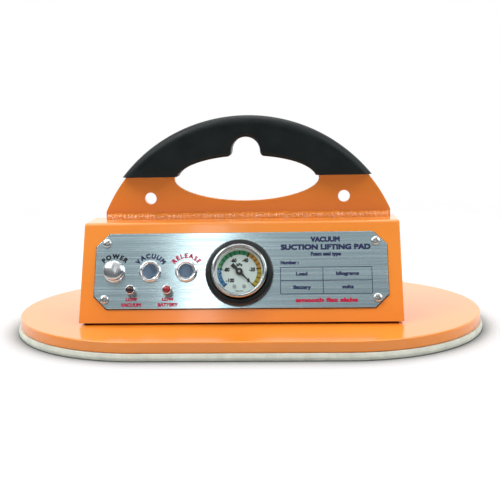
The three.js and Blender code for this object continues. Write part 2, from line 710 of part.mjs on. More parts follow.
// ---- The pieces ----
add("suction_seal", suctionSeal(), FOAM);
add("base_plate", basePlate(), ORANGE);
add("port_strainer", portStrainer(), BRASS);
add("housing_gasket", housingGasket(), BLACK_RUBBER);
add("housing_shell", housingShell(), ORANGE);
baseScrews.forEach((place, i) => add(`base_screw_${i + 1}`, baseScrew(place), ZINC));

add("handle_plate", handlePlate(), ORANGE);
add("weld_bead_front", weldBead(-1), ORANGE);
add("weld_bead_rear", weldBead(1), ORANGE);
add("handle_grip", handleGrip(), GRIP_RUBBER);

add("face_plate", facePlate(), BRUSHED, panel);
panelScrews.forEach(([x, y], i) => {
  add(`face_screw_${i + 1}`, faceScrew(), ZINC, panel).position.set(x, y, 0);
});

["power", "vacuum", "release"].forEach((name, i) => {
  const place = [BUTTON.xs[i], BUTTON.y, 0];
  const domed = name === "power";
  add(`${name}_bezel`, buttonBezel(), CHROME, panel).position.set(...place);
  add(`${name}_nut`, hexNut(BUTTON.barrel, 3), ZINC, panel).position.set(...place);
  add(`${name}_cap`, domed ? domedCap() : flatCap(), domed ? CHROME : BLUED, panel).position.set(...place);
});

["low_vacuum", "low_battery"].forEach((name, i) => {
  add(`${name}_holder`, lampHolder(), CHROME, panel).position.set(LAMP.xs[i], LAMP.y, 0);
  add(`${name}_lens`, lampLens(), i === 0 ? MAROON : RED, panel).position.set(LAMP.xs[i], LAMP.y, 0);
});

const gauge = new THREE.Group();
gauge.position.set(GAUGE.x, GAUGE.y, 0);
panel.add(gauge);
add("gauge_panel_ring", gaugePanelRing(), BLACK_PLASTIC, gauge);
add("gauge_case", gaugeCase(), BLACK_PLASTIC, gauge);
add("gauge_bezel", gaugeBezel(), CHROME, gauge);
add("gauge_window", rod(19.9, 7.2, 8.3, 36), GLASS, gauge);
add("gauge_dial", ring(1.2, 20.6, DIAL_Z, DIAL_Z + 0.8), DIAL_WHITE, gauge);
add("gauge_needle", gaugeNeedle(), BLACK_PLASTIC, gauge);
add("gauge_bourdon_tube", bourdonTube(), BRASS, gauge);
add("gauge_stem", gaugeStem(), BRASS, gauge);

add("manifold_block", manifoldBlock(), ALUMINIUM);
add("check_valve", checkValve(), BLACK_PLASTIC);
add("release_valve", releaseValve(), ZINC);
add("vacuum_switch", vacuumSwitch(), BLACK_PLASTIC);
add("vacuum_hose", vacuumHose(), BLACK_RUBBER);
add("pump_head", pumpHead(), BLACK_PLASTIC);
add("pump_motor", pumpMotor(), ZINC);
add("pump_bracket", pumpBracket(), ALUMINIUM);
add("exhaust_silencer", exhaustSilencer(), BRASS);
add("control_board", controlBoard(), BOARD_GREEN);

// The gauge line runs from the stem's tip, straight back at first, to the nipple on the manifold.
const behindStem = (depth) =>
  new THREE.Vector3(GAUGE.x, GAUGE.y, -GAUGE.depth - GAUGE.stem - depth).applyMatrix4(panel.matrix).toArray();
const gaugeLine = [behindStem(0.8), behindStem(4), [-11, -5, 36], [-19, -4.6, 42], [-20, -5, 36.2]];
add("gauge_hose", hose(gaugeLine, 2.2, 12), BLACK_RUBBER);

add("battery_dock", batteryDock(), BLACK_PLASTIC);
DOCK_SCREW_ZS.forEach((z, i) => add(`dock_screw_${i + 1}`, dockScrew(z), ZINC));
add("battery_pack", batteryPack(), BATTERY_PLASTIC);
add("battery_latch", batteryLatch(), LATCH_PLASTIC);

export default lifter;
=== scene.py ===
import json
import math

import bmesh
import bpy
from mathutils import Matrix, Vector, noise

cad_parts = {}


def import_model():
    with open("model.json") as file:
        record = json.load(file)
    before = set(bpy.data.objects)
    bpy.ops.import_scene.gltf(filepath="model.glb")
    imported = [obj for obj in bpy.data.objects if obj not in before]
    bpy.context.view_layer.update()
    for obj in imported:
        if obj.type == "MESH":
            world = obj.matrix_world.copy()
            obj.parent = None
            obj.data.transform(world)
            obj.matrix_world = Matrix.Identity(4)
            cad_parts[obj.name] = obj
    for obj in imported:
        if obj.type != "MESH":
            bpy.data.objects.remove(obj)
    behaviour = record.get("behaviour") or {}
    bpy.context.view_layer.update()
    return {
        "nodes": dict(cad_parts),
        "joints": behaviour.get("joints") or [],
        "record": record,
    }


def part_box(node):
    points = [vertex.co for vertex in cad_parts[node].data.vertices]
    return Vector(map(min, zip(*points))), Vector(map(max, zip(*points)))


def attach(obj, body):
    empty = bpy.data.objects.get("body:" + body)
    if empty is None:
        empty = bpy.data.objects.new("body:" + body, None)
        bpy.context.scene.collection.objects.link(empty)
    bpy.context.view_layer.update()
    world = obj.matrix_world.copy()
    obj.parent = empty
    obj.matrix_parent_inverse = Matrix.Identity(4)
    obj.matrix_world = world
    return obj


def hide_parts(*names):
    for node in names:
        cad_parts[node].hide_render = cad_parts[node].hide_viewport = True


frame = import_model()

# Shapes are drawn in millimetres and stored in metres. +X is the operator's right, +Y is away, +Z is up.
MM = 0.001
SLOT_OF = {row["node"]: row["material_slot"] for row in frame["record"]["subparts"]}
JOINTS = {joint["name"]: joint for joint in frame["joints"]}

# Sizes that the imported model's boxes don't give.
SHEET = 2.0  # the housing's sheet metal
SEAL_BAND = 30.0
BASE_SCREW_BORE = 2.8
DOCK_SCREW_BORE = 2.2
HAND_ARC_Z = 44.0  # the height of the centre of the handle's arch
OPENING = {"z": 127.5, "half": 62.2, "rise": 22.5, "drop": 18.7, "power": 1.9}
NOTCH = {"z": 151.4, "radius": 14.4, "flare": 3.4}
TETHER = {"x": 83.8, "z": 111.6, "radius": 5.0}
GRIP_WALL = 2.2  # the grip's rubber inside the opening
GRIP_END_Z = 130.5
FACE_CUT_OFF = 11.0  # the panel's cut corners
INK_THICK = 0.05

# The radius of the panel's hole for each piece that goes through it.
PANEL_HOLES = {
    "power_bezel": 8.1, "vacuum_bezel": 8.1, "release_bezel": 8.1,
    "low_vacuum_holder": 3.85, "low_battery_holder": 3.85, "gauge_case": 23.0,
    **{f"face_screw_{i}": 2.2 for i in range(1, 5)},
}


# ---- Places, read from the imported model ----
def box_mm(node):
    low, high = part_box(node)
    return low / MM, high / MM


def middle(node):
    low, high = box_mm(node)
    return (low + high) / 2


HOUSE_LOW, HOUSE_HIGH = box_mm("housing_shell")
PLATE_LOW, PLATE_HIGH = box_mm("base_plate")
SEAL_LOW, SEAL_HIGH = box_mm("suction_seal")
HANDLE_LOW, HANDLE_HIGH = box_mm("handle_plate")
GRIP_LOW, GRIP_HIGH = box_mm("handle_grip")

# Panel coordinates: x to the right from the panel's middle, y up its slope from its foot, z straight out.
OUT = -Vector(JOINTS["power_press"]["axis"]).normalized()
RIGHT = Vector((1, 0, 0))
UP_SLOPE = OUT.cross(RIGHT)
PANEL = Matrix((RIGHT, UP_SLOPE, OUT)).transposed().to_4x4()
PANEL.translation = Vector(((HOUSE_LOW.x + HOUSE_HIGH.x) / 2, HOUSE_LOW.y, HOUSE_LOW.z)) * MM


def panel_box(node):
    """A CAD node's box in panel coordinates, in millimetres."""
    back = PANEL.inverted()
    points = [back @ v.co / MM for v in frame["nodes"][node].data.vertices]
    low = Vector(min(p[i] for p in points) for i in range(3))
    high = Vector(max(p[i] for p in points) for i in range(3))
    return low, high


def panel_middle(node):
    low, high = panel_box(node)
    return (low + high) / 2


# ---- Outlines, as lists of (x, y) ----
def arc(cx, cy, radius, start, end, steps):
    angles = [math.radians(start + (end - start) * i / steps) for i in range(steps + 1)]
    return [(cx + radius * math.cos(a), cy + radius * math.sin(a)) for a in angles]


def circle(cx, cy, radius, steps=48):
    return arc(cx, cy, radius, 0, 360, steps)[:-1]


def stadium(length, width, steps=48):
    radius = width / 2
    centre = length / 2 - radius
    return arc(centre, 0, radius, -90, 90, steps) + arc(-centre, 0, radius, 90, 270, steps)


def rounded(corners, steps=6):
    """A polygon of (x, y, radius) corners with each corner turned into an arc."""
    outline = []
    for i, (x, y, radius) in enumerate(corners):
        here = Vector((x, y))
        back = (Vector(corners[i - 1][:2]) - here).normalized()
        ahead = (Vector(corners[(i + 1) % len(corners)][:2]) - here).normalized()
        if radius == 0:
            outline.append((x, y))
            continue
        half = back.angle(ahead) / 2
        centre = here + (back + ahead).normalized() * (radius / math.sin(half))
        start = here + back * (radius / math.tan(half)) - centre
        end = here + ahead * (radius / math.tan(half)) - centre
        turn = start.angle(end)
        for k in range(steps + 1):
            t = k / steps
            spoke = (start * math.sin((1 - t) * turn) + end * math.sin(t * turn)) / math.sin(turn)
            outline.append(tuple(centre + spoke))
    return outline


def rectangle(x0, x1, y0, y1, radius=0.0):
    return rounded([(x0, y0, radius), (x1, y0, radius), (x1, y1, radius), (x0, y1, radius)])


# ---- Meshes ----
def link(name, data):
    obj = bpy.data.objects.new(name, data)
    bpy.context.scene.collection.objects.link(obj)
    return obj


def tidy_mesh(mesh, angle=35):
    bm = bmesh.new()
    bm.from_mesh(mesh)
    bmesh.ops.remove_doubles(bm, verts=bm.verts, dist=1e-7)
    bmesh.ops.recalc_face_normals(bm, faces=bm.faces)
    bm.to_mesh(mesh)
    bm.free()
    mesh.shade_smooth()
    mesh.set_sharp_from_angle(angle=math.radians(angle))


def evaluated_mesh(obj):
    bpy.context.view_layer.update()
    graph = bpy.context.evaluated_depsgraph_get()
    return bpy.data.meshes.new_from_object(obj.evaluated_get(graph))


def from_curve(name, curve, shift):
    """Turns a filled curve or a text into a mesh object, moved along Z."""
    drawn = link(name + "_curve", curve)
    mesh = evaluated_mesh(drawn)
    bpy.data.objects.remove(drawn)
    mesh.name = name
    mesh.transform(Matrix.Translation((0, 0, shift * MM)))
    tidy_mesh(mesh)
    return link(name, mesh)


def sheet(name, outlines, low, high, edge=0.3, steps=2):
    """A flat piece between z = low and z = high, with holes, and with its edges rounded by edge."""
    curve = bpy.data.curves.new(name, "CURVE")
    curve.dimensions = "2D"
    curve.fill_mode = "BOTH"
    curve.extrude = ((high - low) / 2 - edge) * MM
    curve.bevel_depth = edge * MM
    curve.bevel_resolution = steps
    curve.offset = -edge * MM
    for outline in outlines:
        spline = curve.splines.new("POLY")
        spline.points.add(len(outline) - 1)
        for point, (x, y) in zip(spline.points, outline):
            point.co = (x * MM, y * MM, 0, 1)
        spline.use_cyclic_u = True
    return from_curve(name, curve, (low + high) / 2)


def finished(name, bm, angle):
    mesh = bpy.data.meshes.new(name)
    bm.to_mesh(mesh)
    bm.free()
    tidy_mesh(mesh, angle)
    return link(name, mesh)


def rod(radius, low, high):
    """The profile of a plain rod about Z."""
    return [(0, low), (radius, low), (radius, high), (0, high)]


def dome(radius, rise, foot, steps):
    """The profile of a dome, from its rim up to just short of its top."""
    angles = [math.pi / 2 * k / steps for k in range(steps)]
    return [(radius * math.cos(a), foot + rise * math.sin(a)) for a in angles]


def turned(name, profile, segments=64, angle=35):
    """A piece turned about Z from (radius, z) points, from the axis to the axis or closed on itself."""
    bm = bmesh.new()
    rings = []
    for radius, z in profile:
        if radius == 0:
            rings.append([bm.verts.new((0, 0, z * MM))] * segments)
            continue
        ring = []
        for k in range(segments):
            a = 2 * math.pi * k / segments
            ring.append(bm.verts.new((radius * MM * math.cos(a), radius * MM * math.sin(a), z * MM)))
        rings.append(ring)
    for lower, upper in zip(rings, rings[1:]):
        for k in range(segments):
            near = (k + 1) % segments
            corners = [lower[k], lower[near], upper[near], upper[k]]
            distinct = [v for i, v in enumerate(corners) if v is not corners[i - 1]]
            if len(distinct) > 2:
                bm.faces.new(distinct)
    return finished(name, bm, angle)


def swept(name, loops, closed, angle=40):
    """A skin through loops of points of equal length; it closes on itself, or its two ends are capped."""
    bm = bmesh.new()
    rows = [[bm.verts.new(Vector(p) * MM) for p in loop] for loop in loops]
    pairs = list(zip(rows, rows[1:])) + ([(rows[-1], rows[0])] if closed else [])
    for a, b in pairs:
        for k in range(len(a)):
            near = (k + 1) % len(a)
            bm.faces.new((a[k], a[near], b[near], b[k]))
    if not closed:
        bm.faces.new(rows[0])
        bm.faces.new(rows[-1])
    return finished(name, bm, angle)


def moved(obj, matrix):
    obj.data.transform(matrix)
    return obj


def shifted(obj, x, y, z=0.0):
    return moved(obj, Matrix.Translation(Vector((x, y, z)) * MM))


def joined(name, parts):
    """Several mesh objects as one piece."""
    bm = bmesh.new()
    for part in parts:
        bm.from_mesh(part.data)
    mesh = bpy.data.meshes.new(name)
    bm.to_mesh(mesh)
    bm.free()
    for part in parts:
        bpy.data.objects.remove(part)
    mesh.shade_smooth()
    mesh.set_sharp_from_angle(angle=math.radians(35))
    return link(name, mesh)


def carved(obj, cutters, operation="DIFFERENCE"):
    """The piece with each cutter taken out of it, or joined to it."""
    for cutter in cutters:
        change = obj.modifiers.new("carve", "BOOLEAN")
        change.operation = operation
        change.solver = "EXACT"
        change.object = cutter
        mesh = evaluated_mesh(obj)
        obj.modifiers.remove(change)
        obj.data = mesh
        bpy.data.objects.remove(cutter)
    obj.data.shade_smooth()
    obj.data.set_sharp_from_angle(angle=math.radians(35))
    return obj


# Turns a shape drawn in (x, y) with its thickness along z into one standing in (x, z) or (y, z).
STAND_XZ = Matrix(((1, 0, 0, 0), (0, 0, -1, 0), (0, 1, 0, 0), (0, 0, 0, 1)))
STAND_YZ = Matrix(((0, 0, 1, 0), (1, 0, 0, 0), (0, 1, 0, 0), (0, 0, 0, 1)))


# ---- Materials ----
def add_node(tree, kind, settings=None, **inputs):
    made = tree.nodes.new("ShaderNode" + kind)
    for key, value in (settings or {}).items():
        setattr(made, key, value)
    for key, value in inputs.items():
        socket = made.inputs[key.replace("_", " ")]
        if isinstance(value, bpy.types.NodeSocket):
            tree.links.new(value, socket)
        else:
            socket.default_value = value
    return made


def coordinates(tree, stretch=(1, 1, 1)):
    where = add_node(tree, "TexCoord").outputs["Object"]
    return add_node(tree, "Mapping", Vector=where, Scale=stretch).outputs["Vector"]


def ramp(tree, value, stops):
    made = add_node(tree, "ValToRGB", Fac=value)
    elements = made.color_ramp.elements
    while len(elements) < len(stops):
        elements.new(0.5)
    for element, (position, color) in zip(elements, stops):
        element.position = position
        element.color = (*color, 1)
    return made.outputs["Color"]


def spread(tree, value, low, high, start=0.3, end=0.7):
    settings = {"From_Min": start, "From_Max": end, "To_Min": low, "To_Max": high}
    return add_node(tree, "MapRange", Value=value, **settings).outputs["Result"]


def shade(color, amount):
    return tuple(min(1.0, channel * amount) for channel in color)


def surface(name, color, roughness, metal=0.0, mottle=0.06, mottle_scale=30, wear=0.05,
            grain=300, bump=0.1, depth=0.05, stretch=(1, 1, 1), **fixed):
    """A principled surface with blotches of colour, uneven roughness and a fine grain in its bump."""
    made = bpy.data.materials.new(name)
    made.use_nodes = True
    tree = made.node_tree
    shader = tree.nodes["Principled BSDF"]
    where = coordinates(tree, stretch)
    blotch = add_node(tree, "TexNoise", Vector=where, Scale=mottle_scale, Detail=4).outputs["Fac"]
    fine = add_node(tree, "TexNoise", Vector=where, Scale=grain, Detail=3).outputs["Fac"]
    tint = ramp(tree, blotch, [(0.3, shade(color, 1 - mottle)), (0.7, shade(color, 1 + mottle))])
    rough = spread(tree, blotch, max(0.02, roughness - wear), roughness + wear)
    relief = add_node(tree, "Bump", Strength=bump, Distance=depth * MM, Height=fine).outputs["Normal"]
    tree.links.new(tint, shader.inputs["Base Color"])
    tree.links.new(rough, shader.inputs["Roughness"])
    tree.links.new(relief, shader.inputs["Normal"])
    shader.inputs["Metallic"].default_value = metal
    for key, value in fixed.items():
        shader.inputs[key.replace("_", " ")].default_value = value
    return made


def orange_paint():
    """Powder coat: a glossy skin with a soft orange-peel ripple."""
    return surface("orange_paint", (0.855, 0.255, 0.022), 0.2, mottle=0.04, mottle_scale=14, wear=0.04,
                   grain=420, bump=0.12, depth=0.12, Coat_Weight=0.35, Coat_Roughness=0.08,
                   Specular_IOR_Level=0.5)


def foam():
    """Closed-cell sponge: a pale skin pricked all over by small pores."""
    made = surface("seal_foam", (0.70, 0.72, 0.62), 0.85, mottle=0.1, mottle_scale=120, wear=0.08,
                   grain=1500, bump=0.5, depth=0.2, Specular_IOR_Level=0.25)
    tree = made.node_tree
    shader = tree.nodes["Principled BSDF"]
    cells = add_node(tree, "TexVoronoi", Vector=coordinates(tree), Scale=1300).outputs["Distance"]
    pores = spread(tree, cells, 0.0, 1.0, 0.12, 0.3)
    pits = add_node(tree, "Bump", Strength=0.6, Distance=0.25 * MM, Height=pores)
    tree.links.new(shader.inputs["Normal"].links[0].from_socket, pits.inputs["Normal"])
    tree.links.new(pits.outputs["Normal"], shader.inputs["Normal"])
    return made


def brushed_steel():
    """Brushed metal: long fine scratches along X, which spread a reflection up and down the panel."""
    made = surface("panel_steel", (0.54, 0.70, 0.745), 0.23, metal=1.0, mottle=0.07, mottle_scale=1.0,
                   wear=0.07, grain=3.2, bump=0.12, depth=0.02, stretch=(8, 900, 900), Anisotropic=0.85)
    tree = made.node_tree
    across_grain = add_node(tree, "CombineXYZ", X=UP_SLOPE.x, Y=UP_SLOPE.y, Z=UP_SLOPE.z)
    tree.links.new(across_grain.outputs[0], tree.nodes["Principled BSDF"].inputs["Tangent"])
    return made


def turned_chrome():
    """Chrome over fine turning marks, which fan its reflections out from the power button's centre."""
    made = surface("turned_chrome", (0.56, 0.58, 0.59), 0.24, metal=1.0, mottle=0.04, mottle_scale=120,
                   wear=0.03, grain=1500, bump=0.02, depth=0.01, Anisotropic=0.8)
    tree = made.node_tree
    where = add_node(tree, "TexCoord").outputs["Object"]
    spoke = add_node(tree, "VectorMath", {"operation": "SUBTRACT"})
    tree.links.new(where, spoke.inputs[0])
    spoke.inputs[1].default_value = PANEL @ (panel_middle("power_cap") * MM)
    tree.links.new(spoke.outputs[0], tree.nodes["Principled BSDF"].inputs["Tangent"])
    return made


def glass():
    return surface("window_glass", (0.03, 0.035, 0.035), 0.03, mottle=0.01, wear=0.01, bump=0.01,
                   Alpha=0.12, Specular_IOR_Level=0.9)


def ink(name, color):
    return surface(name, color, 0.6, mottle=0.12, mottle_scale=800, wear=0.05, grain=2500, bump=0.05,
                   depth=0.02, Specular_IOR_Level=0.15)


def circuit_board():
    """Green lacquer over copper tracks."""
    made = surface("board_green", (0.012, 0.10, 0.04), 0.3, mottle=0.3, mottle_scale=60, grain=900)
    tree = made.node_tree
    lacquer, shadow, copper = (0.012, 0.11, 0.045, 1), (0.010, 0.085, 0.035, 1), (0.03, 0.2, 0.07, 1)
    tracks = add_node(tree, "TexBrick", Vector=coordinates(tree), Scale=90,
                      Color1=lacquer, Color2=shadow, Mortar=copper)
    tree.links.new(tracks.outputs["Color"], tree.nodes["Principled BSDF"].inputs["Base Color"])
    return made


LENS = dict(roughness=0.08, mottle=0.15, grain=600, bump=0.02, Coat_Weight=0.6)
CHROME = dict(metal=1.0, wear=0.03, grain=700, bump=0.03, depth=0.02)
# The plain surfaces: colour and roughness, then what sets each one apart.
SURFACES = {
    "weld_paint": dict(
        color=(0.84, 0.25, 0.022), roughness=0.16, mottle=0.1, mottle_scale=160, wear=0.05, grain=1100,
        bump=0.8, depth=0.6, Coat_Weight=0.8, Coat_Roughness=0.04),
    "grip_rubber": dict(
        color=(0.007, 0.0115, 0.0115), roughness=0.46, mottle=0.25, mottle_scale=60, wear=0.06, grain=2600,
        bump=0.3, depth=0.06, Specular_IOR_Level=0.2),
    "black_rubber": dict(color=(0.012, 0.012, 0.012), roughness=0.6, mottle=0.2, grain=900, bump=0.2),
    "chrome_trim": dict(color=(0.74, 0.76, 0.77), roughness=0.08, mottle=0.03, **CHROME),
    "gauge_chrome": dict(color=(0.40, 0.42, 0.42), roughness=0.1, mottle=0.04, **CHROME),
    "gauge_black": dict(
        color=(0.012, 0.015, 0.016), roughness=0.2, mottle=0.15, mottle_scale=90, wear=0.05, grain=1200,
        bump=0.06, depth=0.02),
    # The vacuum and release buttons: chrome-like metal whose blue-grey base colour is a painted reflection.
    "blued_caps": dict(
        color=(0.10, 0.15, 0.21), roughness=0.28, metal=0.75, mottle=0.12, mottle_scale=200, wear=0.06,
        grain=1400, bump=0.08, depth=0.02),
    "zinc_steel": dict(
        color=(0.55, 0.56, 0.55), roughness=0.3, metal=1.0, mottle=0.1, mottle_scale=250, wear=0.08,
        grain=1200, bump=0.1, depth=0.02),
    "motor_steel": dict(color=(0.42, 0.43, 0.44), roughness=0.38, metal=1.0, mottle=0.08, wear=0.08),
    "black_plastic": dict(
        color=(0.014, 0.017, 0.018), roughness=0.4, mottle=0.18, mottle_scale=90, wear=0.06, grain=1800,
        bump=0.18, depth=0.04),
    "battery_plastic": dict(
        color=(0.028, 0.032, 0.036), roughness=0.5, mottle=0.15, mottle_scale=70, wear=0.06, grain=1500,
        bump=0.35, depth=0.06),
    "latch_plastic": dict(color=(0.46, 0.028, 0.018), roughness=0.42, mottle=0.08, grain=1500, bump=0.2),
    "dial_white": dict(
        color=(0.80, 0.96, 0.92), roughness=0.4, mottle=0.03, mottle_scale=60, grain=900, bump=0.04),
    "lens_dark": dict(color=(0.03, 0.004, 0.006), **LENS),
    "lens_red": dict(color=(0.27, 0.006, 0.016), **LENS),
    "brass": dict(
        color=(0.62, 0.42, 0.16), roughness=0.3, metal=1.0, mottle=0.12, mottle_scale=120, wear=0.08),
    "aluminium": dict(color=(0.60, 0.61, 0.62), roughness=0.38, metal=1.0, mottle=0.06, wear=0.07),
}
LOOKS = {name: surface(name, **look) for name, look in SURFACES.items()} | {
    "orange_paint": orange_paint(),
    "turned_chrome": turned_chrome(),
    "seal_foam": foam(),
    "panel_steel": brushed_steel(),
    "window_glass": glass(),
    "board_green": circuit_board(),
}
INK_COLORS = {
    "black": (0.012, 0.014, 0.018),
    "navy": (0.022, 0.028, 0.085),
    "red": (0.42, 0.012, 0.05),
    "blue": (0.05, 0.27, 0.56),
    "green": (0.04, 0.38, 0.14),
    "amber": (0.62, 0.33, 0.045),
    "yellow": (0.62, 0.46, 0.05),
    "grey": (0.30, 0.31, 0.32),
}
INKS = {name: ink("ink_" + name, color) for name, color in INK_COLORS.items()}


def place(obj, look, *nodes, body="lifter"):
    """Gives a piece its material and its body, and hides the CAD nodes that it stands for."""
    obj.data.materials.clear()
    obj.data.materials.append(LOOKS.get(look) or INKS[look])
    even = obj.modifiers.new("even_normals", "WEIGHTED_NORMAL")
    even.keep_sharp = True
    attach(obj, body)
    if nodes:
        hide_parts(*nodes)


def on_panel(obj, look, *nodes, body="lifter"):
    place(moved(obj, PANEL), look, *nodes, body=body)


# ---- Camera, lights and floor ----
def camera():
    """The camera's place and turns, fitted to the outlines of the pad, the housing and the handle."""
    pan, tilt, roll = 0.0505, 0.1634, -0.019
    data = bpy.data.cameras.new("camera")
    data.sensor_width = 36
    data.lens = 61.32
    data.clip_end = 50
    obj = link("camera", data)
    ahead = Vector((-math.sin(pan) * math.cos(tilt), math.cos(pan) * math.cos(tilt), -math.sin(tilt)))
    level = Vector((math.cos(pan), math.sin(pan), 0))
    upright = level.cross(ahead)
    right = level * math.cos(roll) + upright * math.sin(roll)
    turn = Matrix((right, right.cross(ahead), -ahead)).transposed().to_4x4()
    obj.matrix_world = Matrix.Translation(Vector((38.96, -736.85, 186.4)) * MM) @ turn
    bpy.context.scene.camera = obj


def area_light(name, place_at, aim, size, power, shape_ratio=1.0):
    data = bpy.data.lights.new(name, "AREA")
    data.shape = "RECTANGLE"
    data.size = size
    data.size_y = size * shape_ratio
    data.energy = power
    obj = link(name, data)
    obj.location = place_at
    obj.rotation_mode = "QUATERNION"
    obj.rotation_quaternion = (Vector(aim) - Vector(place_at)).to_track_quat("-Z", "Y")


def world():
    """A white studio, darker in front of the object and low down, so that bright metal has contrast."""
    made = bpy.data.worlds.new("studio")
    made.use_nodes = True
    tree = made.node_tree
    where = add_node(tree, "TexCoord").outputs["Generated"]
    parts = add_node(tree, "SeparateXYZ", Vector=where).outputs
    ahead = ramp(tree, parts["Z"], [
        (0.0, (0.34, 0.33, 0.31)), (0.12, (0.1, 0.105, 0.11)), (0.45, (0.24, 0.25, 0.26)),
        (0.72, (0.52, 0.54, 0.56)), (0.95, (1.2, 1.2, 1.2)),
    ])
    behind = ramp(tree, parts["Z"], [
        (0.0, (1.7, 1.7, 1.7)), (0.5, (1.3, 1.3, 1.3)), (0.9, (1.0, 1.0, 1.0)),
    ])
    depth = spread(tree, parts["Y"], 0.0, 1.0, -0.1, 0.35)
    room = add_node(tree, "Mix", {"data_type": "RGBA"})
    tree.links.new(depth, room.inputs["Factor"])
    tree.links.new(ahead, room.inputs[6])
    tree.links.new(behind, room.inputs[7])
    base = tree.nodes["Background"]
    tree.links.new(room.outputs[2], base.inputs["Color"])
    base.inputs["Strength"].default_value = 0.8
    seen = add_node(tree, "LightPath").outputs["Is Camera Ray"]
    white = add_node(tree, "Background", Color=(1, 1, 1, 1), Strength=1.0)
    both = add_node(tree, "MixShader", Fac=seen)
    tree.links.new(base.outputs[0], both.inputs[1])
    tree.links.new(white.outputs[0], both.inputs[2])
    tree.links.new(both.outputs[0], tree.nodes["World Output"].inputs["Surface"])
    bpy.context.scene.world = made


def floor_paper():
    """White paper that deepens the contact shadow and fades out before its edge."""
    made = surface("floor_paper", (0.92, 0.92, 0.92), 0.9, mottle_scale=2, grain=200, bump=0.02)
    tree = made.node_tree
    shader = tree.nodes["Principled BSDF"]
    shader.inputs["Specular IOR Level"].default_value = 0.0
    open_sky = add_node(tree, "AmbientOcclusion", {"samples": 8}, Distance=0.035).outputs["AO"]
    # Painted shadow: the paper's colour darkens where ambient occlusion finds the object close by.
    painted_shadow_tone = ramp(tree, open_sky, [
        (0.4, (0.13, 0.135, 0.13)), (0.75, (0.45, 0.45, 0.45)), (1.0, (0.72, 0.72, 0.72)),
    ])
    tree.links.new(painted_shadow_tone, shader.inputs["Base Color"])
    reach = add_node(tree, "VectorMath", {"operation": "LENGTH"})
    tree.links.new(add_node(tree, "TexCoord").outputs["Object"], reach.inputs[0])
    tree.links.new(spread(tree, reach.outputs["Value"], 1.0, 0.0, 0.55, 1.0), shader.inputs["Alpha"])
    return made


def floor():
    mesh = bpy.data.meshes.new("floor")
    half = 1.2
    corners = [(-half, -half, 0), (half, -half, 0), (half, half, 0), (-half, half, 0)]
    mesh.from_pydata(corners, [], [(0, 1, 2, 3)])
    mesh.materials.append(floor_paper())
    link("floor", mesh)


camera()
world()
floor()
area_light("key", (-1.1, -0.45, 1.6), (0, 0, 0.05), 0.9, 20)
area_light("fill", (1.3, -0.5, 1.3), (0, 0, 0.05), 1.0, 13)
area_light("top", (0.0, 0.5, 1.7), (0, 0, 0.05), 1.2, 12)
area_light("stripe", (-0.225, -1.42, 1.29), (-0.02, 0, 0.05), 0.1, 0.95, 6.0)
bpy.context.scene.view_settings.view_transform = "Standard"


# ---- Pad ----
def pad_seal():
    """The foam ring, with soft corners and a free lip that swells a little past the plate."""
    length, width = SEAL_HIGH.x - SEAL_LOW.x, SEAL_HIGH.y - SEAL_LOW.y
    height = SEAL_HIGH.z - SEAL_LOW.z
    inner = [(SEAL_BAND, 0, 1.2), (SEAL_BAND, height, 0.5)]
    section = rounded([(0.35, 0, 1.4), *inner, (0.9, height, 0.5), (0, height / 2, 2.6)], 5)
    loops = []
    centre = length / 2 - width / 2
    for x, y in stadium(length, width, 90):
        hub = Vector((max(-centre, min(centre, x)), 0))
        outward = (Vector((x, y)) - hub).normalized()
        loops.append([(x - outward.x * u, y - outward.y * u, v) for u, v in section])
    place(swept("seal", loops, closed=True), "seal_foam", "suction_seal")


def stepped_bore(wide, depth, narrow):
    """The profile of a hole up through the plate, wide for a depth from below and narrow above."""
    low, step, high = -1, PLATE_LOW.z + depth, PLATE_HIGH.z + 2
    return [(0, low), (wide, low), (wide, step), (narrow, step), (narrow, high), (0, high)]


def pad_plate():
    length, width = PLATE_HIGH.x - PLATE_LOW.x, PLATE_HIGH.y - PLATE_LOW.y
    plate = sheet("pad_plate", [stadium(length, width, 90)], PLATE_LOW.z, PLATE_HIGH.z, edge=1.3, steps=4)
    cutters = []
    for i in range(1, 5):
        at = middle(f"base_screw_{i}")
        bore = stepped_bore(5.3, 3.3, BASE_SCREW_BORE)
        cutters.append(shifted(turned("bore", bore, 40), at.x, at.y))
    port = middle("port_strainer")
    cutters.append(shifted(turned("seat", stepped_bore(11, 2.5, 4), 48), port.x, port.y))
    place(carved(plate, cutters), "orange_paint", "base_plate")


# ---- Housing ----
def house_section(inset, floor_z, bend):
    """The housing's outline in (y, z), moved in from the outer faces by inset."""
    rise = HOUSE_HIGH.z - HOUSE_LOW.z
    run = rise * UP_SLOPE.y / UP_SLOPE.z
    slant = math.hypot(rise, run)

    def front(z):
        return HOUSE_LOW.y + (z - HOUSE_LOW.z) * run / rise + inset * slant / rise

    roof = HOUSE_HIGH.z - inset
    rear = HOUSE_HIGH.y - inset
    foot = [(front(floor_z), floor_z, 0), (rear, floor_z, 0)]
    return rounded([*foot, (rear, roof, bend), (front(roof), roof, bend)], 8)


def rear_wall_cut(name, outline):
    """A cutter through the rear wall, from an outline in (x, z)."""
    cutter = sheet(name, [outline], -20, 20, edge=0.0)
    return moved(cutter, Matrix.Translation((0, HOUSE_HIGH.y * MM, 0)) @ STAND_XZ)


